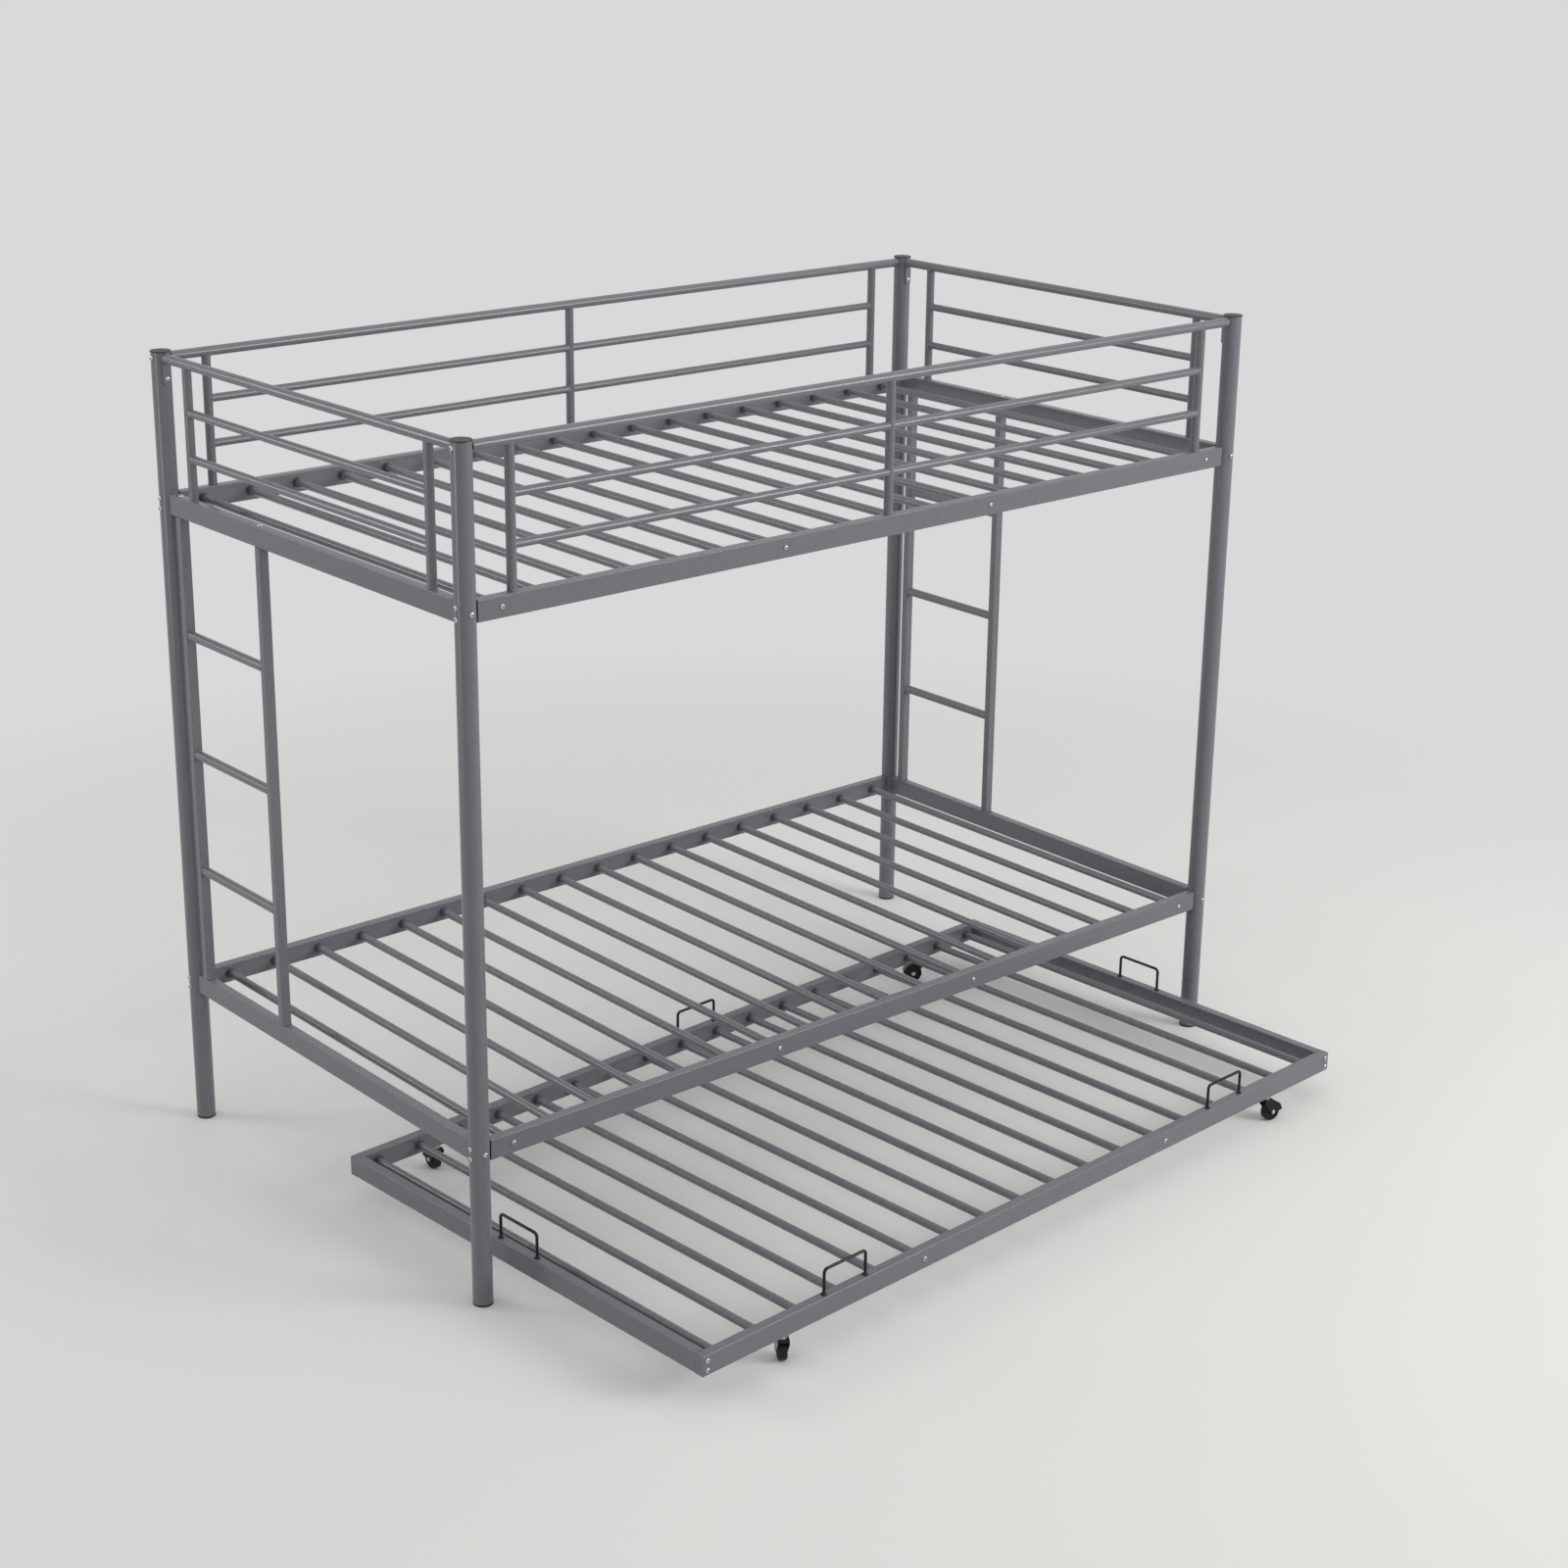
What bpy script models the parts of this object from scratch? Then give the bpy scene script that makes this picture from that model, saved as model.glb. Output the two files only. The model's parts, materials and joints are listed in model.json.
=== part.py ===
"""Metal bunk bed with two slatted decks, two end ladders and a rolling trundle bed.

Metres, +Z up. +X runs along the long side and +Y to the rear. The origin is on the
floor, under the middle of the whole object with its trundle pulled out.
"""

import math

import bmesh
import bpy
from mathutils import Matrix, Vector

for leftover in list(bpy.data.objects):
    bpy.data.objects.remove(leftover, do_unlink=True)

# Overall sizes, measured between the centres of the corner posts
post_span_length = 1.940
post_span_width = 1.000
bed_height = 1.610
lower_deck_height = 0.307
guard_height = 0.263

# Clearance of a piece to the piece that it seats on or fits in
seat_gap = 0.0003
# How far a cutting shape runs past the faces that it cuts
cut_overrun = 0.002
# Points closer than this are one point
merge_distance = 0.000001
# Round surfaces look smooth, edges sharper than this stay crisp
crease_angle = math.radians(40)

# Corner posts, round tube, with a cap on top and a foot below
post_diameter = 0.038
post_wall = 0.0015
post_sides = 24
cap_lip = 0.001
cap_thickness = 0.003
foot_thickness = 0.004
plug_depth = 0.015
plug_edge = 0.0008

# Rails, rectangular tube standing on edge
rail_height = 0.040
rail_thickness = 0.020
rail_corner_radius = 0.002
rail_corner_steps = 2

# Slats, round tube, across the bed
slat_diameter = 0.016
slat_sides = 12
slat_count = 18
slat_end_distance = 0.069

# Guard frames above the upper rails, round tube
guard_tube_diameter = 0.019
upright_diameter = 0.018
guard_tube_sides = 16
guard_bar_diameter = 0.016
guard_bar_sides = 12
guard_top_gap = 0.0012
guard_bar_shares = (0.312, 0.650)
upright_distance = 0.097

# Tabs under the top tubes of the end guards, each bolted to a post
tab_width = 0.015
tab_thickness = 0.002
tab_drop = 0.051
tab_set_back = 0.0002
tab_arc_steps = 6

# Ladders between the end rails
stile_depth = 0.020
stile_width = 0.016
stile_corner_radius = 0.0015
stile_distance = 0.048
ladder_width = 0.292
rung_diameter = 0.019
rung_sides = 16
rung_pitch = 0.246
rung_count = 3

# Trundle frame, the same rails and slats on four casters
trundle_end_clearance = 0.046
trundle_width = 1.018
trundle_shift_x = -0.0065
trundle_shift_y = -0.4683
trundle_turn = math.radians(3.185)
trundle_slat_count = 18
trundle_slat_end_distance = 0.050

# Wire bails on the trundle rails, bent from round wire, with flange feet
bail_wire_diameter = 0.006
bail_foot_spacing = 0.105
bail_height = 0.053
bail_corner_radius = 0.012
bail_corner_steps = 3
bail_flange_diameter = 0.014
bail_flange_thickness = 0.0015
bail_flange_step = 0.0001
bail_wire_resolution = 2
front_bail_distance = 0.552

# Caster wheels
wheel_diameter = 0.040
wheel_width = 0.016
wheel_sides = 20
wheel_edge = 0.0018
wheel_hub_diameter = 0.017
wheel_hub_width = 0.0156
wheel_rim_depth = 0.0045
wheel_web_recess = 0.0025
wheel_step_slope = 0.001

# Caster axles, pins with two round heads
axle_diameter = 0.006
axle_sides = 12
axle_head_diameter = 0.009
axle_head_height = 0.0014
axle_head_edge = 0.0006

# Caster forks: a crown over the wheel, two cheeks and a hood behind
caster_end_distance = 0.200
caster_trail = 0.012
crown_clearance = 0.0038
crown_thickness = 0.004
crown_front = 0.012
crown_nose_depth = 0.007
crown_nose_chamfer = 0.003
fork_side_clearance = 0.0008
fork_cheek_thickness = 0.0022
hood_clearance = 0.0015
hood_wall = 0.0023
hood_arc_start = math.radians(72)
hood_arc_end = math.radians(8)
hood_arc_steps = 6
axle_boss_diameter = 0.012
axle_boss_steps = 6
fork_bore_sides = 16

# Caster stems: a round head under the crown, a shank and a hexagon nut
stem_diameter = 0.008
stem_sides = 16
stem_head_diameter = 0.011
stem_head_height = 0.003
stem_socket_depth = 0.010
nut_sides = 6
nut_across_flats = 0.013
nut_height = 0.0076

# Each caster has swivelled its own way, measured from the trundle's length
front_left_swivel = math.radians(55)
front_right_swivel = math.radians(-12)
rear_left_swivel = math.radians(85)
rear_right_swivel = math.radians(140)

# Places that follow from the sizes above
post_x = post_span_length / 2
post_y = post_span_width / 2
post_radius = post_diameter / 2
post_bottom = foot_thickness + seat_gap
post_top = bed_height - cap_thickness - seat_gap
cap_diameter = post_diameter + 2 * cap_lip

guard_top_height = post_top - guard_top_gap - guard_tube_diameter / 2
upper_rail_top = guard_top_height - guard_height
upper_deck_height = upper_rail_top - rail_height / 2
upper_rail_bottom = upper_rail_top - rail_height
lower_rail_top = lower_deck_height + rail_height / 2

side_rail_length = post_span_length - post_diameter - 2 * seat_gap
end_rail_length = post_span_width - post_diameter - 2 * seat_gap

wheel_radius = wheel_diameter / 2
crown_bottom = wheel_diameter + crown_clearance
crown_top = crown_bottom + crown_thickness
nut_bottom = crown_top + seat_gap
nut_top = nut_bottom + nut_height
trundle_rail_bottom = nut_top + seat_gap
trundle_deck_height = trundle_rail_bottom + rail_height / 2
trundle_rail_top = trundle_rail_bottom + rail_height
trundle_length = post_span_length - post_diameter - 2 * trundle_end_clearance
trundle_side_y = (trundle_width - rail_thickness) / 2
trundle_end_x = (trundle_length - rail_thickness) / 2
trundle_end_rail_length = trundle_width - 2 * rail_thickness - 2 * seat_gap
caster_x = trundle_length / 2 - caster_end_distance

# The object's middle, front to back, lies on the origin
bed_rear = post_y + cap_diameter / 2
trundle_front_corner = (
    trundle_shift_y
    - trundle_length / 2 * math.sin(trundle_turn)
    - trundle_width / 2 * math.cos(trundle_turn)
)
bed_shift_y = -(bed_rear + trundle_front_corner) / 2

# Finishes: base colour, metallic, roughness
finish_looks = {
    "grey_powder_coat": ((0.127, 0.133, 0.147, 1.0), 0.0, 0.45),
    "dark_plastic": ((0.020, 0.018, 0.017, 1.0), 0.0, 0.50),
    "black_wire": ((0.012, 0.012, 0.013, 1.0), 0.0, 0.35),
    "black_caster_shell": ((0.010, 0.010, 0.010, 1.0), 0.0, 0.40),
    "black_tread": ((0.014, 0.014, 0.014, 1.0), 0.0, 0.65),
    "bright_zinc": ((0.620, 0.630, 0.640, 1.0), 1.0, 0.30),
}


def finish_material(finish):
    """The Principled material for a finish, made when it is first used."""
    if finish in bpy.data.materials:
        return bpy.data.materials[finish]
    colour, metallic, roughness = finish_looks[finish]
    material = bpy.data.materials.new(finish)
    material.use_nodes = True
    shader = material.node_tree.nodes["Principled BSDF"]
    shader.inputs["Base Color"].default_value = colour
    shader.inputs["Metallic"].default_value = metallic
    shader.inputs["Roughness"].default_value = roughness
    material.diffuse_color = colour
    return material


def new_object(name, bm, finish, parent=None, location=(0, 0, 0), turn=0):
    """Turn a bmesh into a named object with its finish, parent and place."""
    bmesh.ops.recalc_face_normals(bm, faces=bm.faces)
    mesh = bpy.data.meshes.new(name)
    bm.to_mesh(mesh)
    bm.free()
    mesh.shade_smooth()
    mesh.set_sharp_from_angle(angle=crease_angle)
    mesh.materials.append(finish_material(finish))
    piece = bpy.data.objects.new(name, mesh)
    bpy.context.scene.collection.objects.link(piece)
    piece.parent = parent
    piece.location = location
    piece.rotation_euler = (0, 0, turn)
    return piece


def new_empty(name, location, turn):
    """An empty that carries a group of pieces."""
    empty = bpy.data.objects.new(name, None)
    bpy.context.scene.collection.objects.link(empty)
    empty.location = location
    empty.rotation_euler = (0, 0, turn)
    return empty


def combine(piece, tools):
    """Join or cut a piece with helper shapes: (operation, bmesh) pairs, in its own axes."""
    helpers = []
    for number, (operation, bm) in enumerate(tools):
        helper = new_object(f"{piece.name}_helper_{number}", bm, piece.active_material.name)
        helper.location = piece.location
        helper.rotation_euler = piece.rotation_euler
        helper.parent = piece.parent
        helper.hide_render = True
        helper.display_type = "WIRE"
        modifier = piece.modifiers.new(helper.name, "BOOLEAN")
        modifier.operation = operation
        modifier.solver = "EXACT"
        modifier.object = helper
        helpers.append(helper)
    bpy.context.view_layer.update()
    depsgraph = bpy.context.evaluated_depsgraph_get()
    solid = bpy.data.meshes.new_from_object(piece.evaluated_get(depsgraph))
    piece.modifiers.clear()
    piece.data = solid
    solid.shade_smooth()
    solid.set_sharp_from_angle(angle=crease_angle)
    for helper in helpers:
        bpy.data.objects.remove(helper, do_unlink=True)


def arc_points(centre_a, centre_b, radius, start, end, steps):
    """Points along an arc, in the two axes of an outline."""
    points = []
    for step in range(steps + 1):
        angle = start + (end - start) * step / steps
        points.append((centre_a + radius * math.cos(angle), centre_b + radius * math.sin(angle)))
    return points


def tube_outline(width, height, corner_radius):
    """A rectangle with rounded corners, centred, width along the first axis."""
    inner_a = width / 2 - corner_radius
    inner_b = height / 2 - corner_radius
    points = []
    for quarter, (side_a, side_b) in enumerate(((1, 1), (-1, 1), (-1, -1), (1, -1))):
        start = quarter * math.pi / 2
        points += arc_points(
            side_a * inner_a, side_b * inner_b, corner_radius,
            start, start + math.pi / 2, rail_corner_steps,
        )
    return points


def add_prism(bm, outline, start, end, across):
    """A closed prism from start to end; across is the outline's first axis."""
    start, end, across = Vector(start), Vector(end), Vector(across)
    rise = (end - start).normalized().cross(across)
    corners = [bm.verts.new(start + across * a + rise * b) for a, b in outline]
    face = bm.faces.new(corners)
    swept = bmesh.ops.extrude_face_region(bm, geom=[face])
    moved = [item for item in swept["geom"] if isinstance(item, bmesh.types.BMVert)]
    bmesh.ops.translate(bm, verts=moved, vec=end - start)


def add_round_bar(bm, diameter, sides, start, end):
    """A closed round bar from start to end."""
    start, end = Vector(start), Vector(end)
    axis = end - start
    turn = axis.to_track_quat("Z", "Y").to_matrix().to_4x4()
    bmesh.ops.create_cone(
        bm, cap_ends=True, segments=sides, radius1=diameter / 2, radius2=diameter / 2,
        depth=axis.length, matrix=Matrix.Translation((start + end) / 2) @ turn,
    )


def add_turned(bm, profile, sides, closed):
    """Spin a profile of (radius, height) points about the Z axis."""
    points = [bm.verts.new((radius, 0, height)) for radius, height in profile]
    lines = [bm.edges.new(pair) for pair in zip(points, points[1:])]
    if closed:
        lines.append(bm.edges.new((points[-1], points[0])))
    bmesh.ops.spin(
        bm, geom=points + lines, cent=(0, 0, 0), axis=(0, 0, 1), dvec=(0, 0, 0),
        angle=2 * math.pi, steps=sides, use_merge=True, use_duplicate=False,
    )
    bmesh.ops.remove_doubles(bm, verts=bm.verts, dist=merge_distance)


def lay_along_y(bm):
    """Turn a shape that was spun about Z so that its axis lies along Y."""
    bmesh.ops.rotate(bm, verts=bm.verts, cent=(0, 0, 0), matrix=Matrix.Rotation(math.pi / 2, 3, "X"))


def plug_profile(disc_diameter, disc_thickness):
    """Half section of a tube plug: a disc, then a spigot that fits the post's bore."""
    spigot_radius = post_radius - post_wall - seat_gap
    disc_radius = disc_diameter / 2
    spigot_start = disc_thickness
    spigot_end = disc_thickness + seat_gap + plug_depth
    return [
        (0, 0),
        (disc_radius - plug_edge, 0),
        (disc_radius, plug_edge),
        (disc_radius, disc_thickness),
        (spigot_radius, spigot_start),
        (spigot_radius, spigot_end),
        (0, spigot_end),
    ]


def slat_places(count, reach):
    """Places of slats spread evenly from -reach to +reach."""
    pitch = 2 * reach / (count - 1)
    return [-reach + pitch * number for number in range(count)]


# The bed stands square; the trundle is rolled out and a little turned
bed = new_empty("bed", (0, bed_shift_y, 0), 0)
trundle = new_empty("trundle", (trundle_shift_x, trundle_shift_y + bed_shift_y, 0), trundle_turn)


def build_post(corner, x, y):
    """One corner post, open at both ends, with its foot plug and its cap."""
    inner_radius = post_radius - post_wall
    bm = bmesh.new()
    add_turned(
        bm,
        [
            (post_radius, post_bottom),
            (post_radius, post_top),
            (inner_radius, post_top),
            (inner_radius, post_bottom),
        ],
        post_sides,
        closed=True,
    )
    new_object(f"{corner}_post", bm, "grey_powder_coat", bed, (x, y, 0))

    bm = bmesh.new()
    add_turned(bm, plug_profile(post_diameter, foot_thickness), post_sides, closed=False)
    new_object(f"{corner}_foot_plug", bm, "dark_plastic", bed, (x, y, 0))

    bm = bmesh.new()
    cap_profile = [
        (radius, -height) for radius, height in plug_profile(cap_diameter, cap_thickness)
    ]
    add_turned(bm, cap_profile, post_sides, closed=False)
    new_object(f"{corner}_post_cap", bm, "dark_plastic", bed, (x, y, bed_height))


def build_rail(name, length, parent, location, turn=0):
    """One rectangular rail, centred on its place, along X before it is turned."""
    bm = bmesh.new()
    outline = tube_outline(rail_thickness, rail_height, rail_corner_radius)
    add_prism(bm, outline, (-length / 2, 0, 0), (length / 2, 0, 0), (0, 1, 0))
    return new_object(name, bm, "grey_powder_coat", parent, location, turn)


def join_slats(rail, places, reach):
    """Join slats to a front rail; they run back to just short of the rear rail."""
    bm = bmesh.new()
    for x in places:
        add_round_bar(bm, slat_diameter, slat_sides, (x, 0, 0), (x, reach, 0))
    combine(rail, [("UNION", bm)])


def build_bed_deck(level, height):
    """Four rails between the posts, with the slats joined to the front rail."""
    front = build_rail(f"{level}_front_rail_and_slats", side_rail_length, bed, (0, -post_y, height))
    reach = post_span_width - rail_thickness / 2 - seat_gap
    join_slats(front, slat_places(slat_count, post_x - slat_end_distance), reach)
    build_rail(f"{level}_rear_rail", side_rail_length, bed, (0, post_y, height))
    for side, x in (("left", -post_x), ("right", post_x)):
        build_rail(f"{level}_{side}_end_rail", end_rail_length, bed, (x, 0, height), math.pi / 2)


def add_tab(bm, tube_end):
    """A thin tab that hangs from a top tube's end, with a round lower edge."""
    radius = tab_width / 2
    outline = [(radius, 0), (-radius, 0)]
    outline += arc_points(0, tab_drop - radius, radius, math.pi, 0, tab_arc_steps)
    outward = math.copysign(1, tube_end)
    outer_face = tube_end - outward * tab_set_back
    inner_face = outer_face - outward * tab_thickness
    add_prism(
        bm,
        [(a, -outward * b) for a, b in outline],
        (inner_face, 0, guard_height),
        (outer_face, 0, guard_height),
        (0, 1, 0),
    )


def build_guard(name, tube_length, upright_places, location, turn=0, with_tabs=False):
    """A guard frame along X: a top tube on uprights, with bars between them."""
    bm = bmesh.new()
    half_length = tube_length / 2
    add_round_bar(
        bm, guard_tube_diameter, guard_tube_sides,
        (-half_length, 0, guard_height), (half_length, 0, guard_height),
    )
    guard = new_object(name, bm, "grey_powder_coat", bed, location, turn)

    uprights = bmesh.new()
    for x in upright_places:
        add_round_bar(
            uprights, upright_diameter, guard_tube_sides, (x, 0, seat_gap), (x, 0, guard_height)
        )
    bars = bmesh.new()
    for share in guard_bar_shares:
        z = share * guard_height
        add_round_bar(
            bars, guard_bar_diameter, guard_bar_sides,
            (upright_places[0], 0, z), (upright_places[-1], 0, z),
        )
    tools = [("UNION", uprights), ("UNION", bars)]
    if with_tabs:
        tabs = bmesh.new()
        for tube_end in (-half_length, half_length):
            add_tab(tabs, tube_end)
        tools.append(("UNION", tabs))
    combine(guard, tools)


def build_guards():
    """Guards on all four sides; the long ones also have a middle upright."""
    side_reach = post_x - upright_distance
    for side, y in (("front", -post_y), ("rear", post_y)):
        build_guard(
            f"{side}_guard", side_rail_length, (-side_reach, 0, side_reach), (0, y, upper_rail_top)
        )
    end_reach = post_y - upright_distance
    for side, x in (("left", -post_x), ("right", post_x)):
        build_guard(
            f"{side}_end_guard", end_rail_length, (-end_reach, end_reach),
            (x, 0, upper_rail_top), math.pi / 2, with_tabs=True,
        )


def build_ladder(name, x):
    """Two stiles between the lower and upper end rails, with rungs welded between."""
    ladder_height = upper_rail_bottom - lower_rail_top
    half_width = ladder_width / 2
    outline = tube_outline(stile_depth, stile_width, stile_corner_radius)
    stiles = bmesh.new()
    for y in (-half_width, half_width):
        add_prism(stiles, outline, (0, y, seat_gap), (0, y, ladder_height - seat_gap), (1, 0, 0))
    centre_y = post_y - stile_distance - half_width
    ladder = new_object(name, stiles, "grey_powder_coat", bed, (x, centre_y, lower_rail_top))

    rungs = bmesh.new()
    first_rung = ladder_height / 2 - rung_pitch * (rung_count - 1) / 2
    for number in range(rung_count):
        z = first_rung + rung_pitch * number
        add_round_bar(rungs, rung_diameter, rung_sides, (0, -half_width, z), (0, half_width, z))
    combine(ladder, [("UNION", rungs)])


def socket_cutter(places):
    """Blind holes in a trundle rail's underside, for the caster stems."""
    bm = bmesh.new()
    bottom = -rail_height / 2
    for x in places:
        add_round_bar(
            bm, stem_diameter + 2 * seat_gap, stem_sides,
            (x, 0, bottom - cut_overrun), (x, 0, bottom + stem_socket_depth),
        )
    return bm


def build_trundle_frame():
    """Two long rails with two end rails between them, and the slats."""
    places = (-caster_x, caster_x)
    front = build_rail(
        "trundle_front_rail_and_slats", trundle_length, trundle,
        (0, -trundle_side_y, trundle_deck_height),
    )
    slat_reach = trundle_length / 2 - trundle_slat_end_distance
    join_slats(
        front,
        slat_places(trundle_slat_count, slat_reach),
        2 * trundle_side_y - rail_thickness / 2 - seat_gap,
    )
    combine(front, [("DIFFERENCE", socket_cutter(places))])
    rear = build_rail(
        "trundle_rear_rail", trundle_length, trundle, (0, trundle_side_y, trundle_deck_height)
    )
    combine(rear, [("DIFFERENCE", socket_cutter(places))])
    for side, x in (("left", -trundle_end_x), ("right", trundle_end_x)):
        build_rail(
            f"trundle_{side}_end_rail", trundle_end_rail_length, trundle,
            (x, 0, trundle_deck_height), math.pi / 2,
        )


def build_bail(name, location, turn=0):
    """A wire bail on two flange feet, standing on a rail's top."""
    half_spacing = bail_foot_spacing / 2
    wire_radius = bail_wire_diameter / 2
    flange_share = bail_flange_diameter / bail_wire_diameter
    left_leg = [
        (-half_spacing, seat_gap, flange_share),
        (-half_spacing, seat_gap + bail_flange_thickness, flange_share),
        (-half_spacing, seat_gap + bail_flange_thickness + bail_flange_step, 1),
    ]
    corner_centre_x = half_spacing - bail_corner_radius
    corner_centre_z = bail_height - wire_radius - bail_corner_radius
    left_corner = arc_points(
        -corner_centre_x, corner_centre_z, bail_corner_radius,
        math.pi, math.pi / 2, bail_corner_steps,
    )
    left_half = left_leg + [(x, z, 1) for x, z in left_corner]
    route = left_half + [(-x, z, share) for x, z, share in reversed(left_half)]

    wire = bpy.data.curves.new(name, "CURVE")
    wire.dimensions = "3D"
    wire.bevel_depth = wire_radius
    wire.bevel_resolution = bail_wire_resolution
    wire.use_fill_caps = True
    spline = wire.splines.new("POLY")
    spline.points.add(len(route) - 1)
    for point, (x, z, share) in zip(spline.points, route):
        point.co = (x, 0, z, 1)
        point.radius = share
    spline.use_smooth = True
    wire.materials.append(finish_material("black_wire"))
    bail = bpy.data.objects.new(name, wire)
    bpy.context.scene.collection.objects.link(bail)
    bail.parent = trundle
    bail.location = location
    bail.rotation_euler = (0, 0, turn)


def build_bails():
    """One bail on each end rail, two on the front rail and one on the rear rail."""
    top = trundle_rail_top
    build_bail("trundle_left_bail", (-trundle_end_x, 0, top), math.pi / 2)
    build_bail("trundle_right_bail", (trundle_end_x, 0, top), math.pi / 2)
    build_bail("trundle_front_left_bail", (-front_bail_distance, -trundle_side_y, top))
    build_bail("trundle_front_right_bail", (front_bail_distance, -trundle_side_y, top))
    build_bail("trundle_rear_bail", (0, trundle_side_y, top))


def build_caster_stem(corner, x, y):
    """The pivot under a rail: head, shank and hexagon nut in one piece."""
    shank_radius = stem_diameter / 2
    head_radius = stem_head_diameter / 2
    head_top = crown_bottom - seat_gap
    shank_top = trundle_rail_bottom + stem_socket_depth - seat_gap
    bm = bmesh.new()
    add_turned(
        bm,
        [
            (0, head_top - stem_head_height),
            (head_radius, head_top - stem_head_height),
            (head_radius, head_top),
            (shank_radius, head_top),
            (shank_radius, shank_top),
            (0, shank_top),
        ],
        stem_sides,
        closed=False,
    )
    stem = new_object(f"{corner}_caster_stem", bm, "bright_zinc", trundle, (x, y, 0))
    nut = bmesh.new()
    nut_diameter = nut_across_flats / math.cos(math.pi / nut_sides)
    add_round_bar(nut, nut_diameter, nut_sides, (0, 0, nut_bottom), (0, 0, nut_top))
    combine(stem, [("UNION", nut)])


def fork_outline():
    """Side view of the fork: flat crown, hood over the wheel's back, cheek down to the axle."""
    front = -crown_front
    outline = [(front + crown_nose_chamfer, crown_top), (caster_trail, crown_top)]
    outline += arc_points(
        caster_trail, wheel_radius, wheel_radius + hood_clearance + hood_wall,
        hood_arc_start, hood_arc_end, hood_arc_steps,
    )
    outline += arc_points(
        caster_trail, wheel_radius, axle_boss_diameter / 2,
        -math.pi / 8, -math.pi * 7 / 8, axle_boss_steps,
    )
    outline += [
        (front, crown_top - crown_nose_depth),
        (front, crown_top - crown_nose_chamfer),
    ]
    return outline


def build_fork(corner, x, y, swivel):
    """A caster fork, its origin on the swivel axis and its wheel towards +X."""
    inner_half = wheel_width / 2 + fork_side_clearance
    outer_half = inner_half + fork_cheek_thickness
    bm = bmesh.new()
    # Seen along +Y the outline's first axis is X and its second axis is -Z
    add_prism(
        bm, [(a, -b) for a, b in fork_outline()], (0, -outer_half, 0), (0, outer_half, 0), (1, 0, 0)
    )
    fork = new_object(f"{corner}_caster_fork", bm, "black_caster_shell", trundle, (x, y, 0), swivel)

    front = -crown_front - cut_overrun
    back = caster_trail + wheel_radius + hood_clearance + hood_wall + cut_overrun
    mouth = bmesh.new()
    add_prism(
        mouth,
        [
            (front, 0),
            (caster_trail, 0),
            (caster_trail, -crown_bottom),
            (front, -crown_bottom),
        ],
        (0, -inner_half, 0),
        (0, inner_half, 0),
        (1, 0, 0),
    )
    tail = bmesh.new()
    add_prism(
        tail,
        [(0, 0), (back, 0), (back, -wheel_radius), (0, -wheel_radius)],
        (0, -inner_half, 0),
        (0, inner_half, 0),
        (1, 0, 0),
    )
    pocket = bmesh.new()
    add_round_bar(
        pocket, wheel_diameter + 2 * hood_clearance, post_sides,
        (caster_trail, -inner_half, wheel_radius), (caster_trail, inner_half, wheel_radius),
    )
    axle_bore = bmesh.new()
    add_round_bar(
        axle_bore, axle_diameter + 2 * seat_gap, fork_bore_sides,
        (caster_trail, -outer_half - cut_overrun, wheel_radius),
        (caster_trail, outer_half + cut_overrun, wheel_radius),
    )
    stem_bore = bmesh.new()
    add_round_bar(
        stem_bore, stem_diameter + 2 * seat_gap, fork_bore_sides,
        (0, 0, crown_bottom - cut_overrun), (0, 0, crown_top + cut_overrun),
    )
    cutters = (mouth, tail, pocket, axle_bore, stem_bore)
    combine(fork, [("DIFFERENCE", cutter) for cutter in cutters])
    return fork


def axle_profile():
    """Half section of the axle: a pin with a head outside each cheek."""
    pin_radius = axle_diameter / 2
    head_radius = axle_head_diameter / 2
    seat = wheel_width / 2 + fork_side_clearance + fork_cheek_thickness + seat_gap
    tip = seat + axle_head_height
    near_half = [
        (pin_radius, seat),
        (head_radius, seat),
        (head_radius, tip - axle_head_edge),
        (head_radius - axle_head_edge, tip),
        (0, tip),
    ]
    return [(radius, -height) for radius, height in reversed(near_half)] + near_half


def wheel_profile():
    """Closed half section of the wheel: hub, recessed web and rounded tread."""
    bore_radius = axle_diameter / 2 + seat_gap
    hub_radius = wheel_hub_diameter / 2
    rim_radius = wheel_radius - wheel_rim_depth
    half_width = wheel_width / 2
    hub_half = wheel_hub_width / 2
    web_half = half_width - wheel_web_recess
    near_half = [
        (bore_radius, hub_half),
        (hub_radius, hub_half),
        (hub_radius + wheel_step_slope, web_half),
        (rim_radius - wheel_step_slope, web_half),
        (rim_radius, half_width),
        (wheel_radius - wheel_edge, half_width),
        (wheel_radius, half_width - wheel_edge),
    ]
    return near_half + [(radius, -height) for radius, height in reversed(near_half)]


def build_caster(corner, x, y, swivel):
    """Stem, fork, axle and wheel at one place under the trundle."""
    build_caster_stem(corner, x, y)
    fork = build_fork(corner, x, y, swivel)
    hub_place = (caster_trail, 0, wheel_radius)

    bm = bmesh.new()
    add_turned(bm, axle_profile(), axle_sides, closed=False)
    lay_along_y(bm)
    new_object(f"{corner}_caster_axle", bm, "bright_zinc", fork, hub_place)

    bm = bmesh.new()
    add_turned(bm, wheel_profile(), wheel_sides, closed=True)
    lay_along_y(bm)
    new_object(f"{corner}_caster_wheel", bm, "black_tread", fork, hub_place)


# The bed
for corner, x, y in (
    ("front_left", -post_x, -post_y),
    ("front_right", post_x, -post_y),
    ("rear_left", -post_x, post_y),
    ("rear_right", post_x, post_y),
):
    build_post(corner, x, y)
build_bed_deck("upper", upper_deck_height)
build_bed_deck("lower", lower_deck_height)
build_guards()
build_ladder("left_ladder", -post_x)
build_ladder("right_ladder", post_x)

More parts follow.
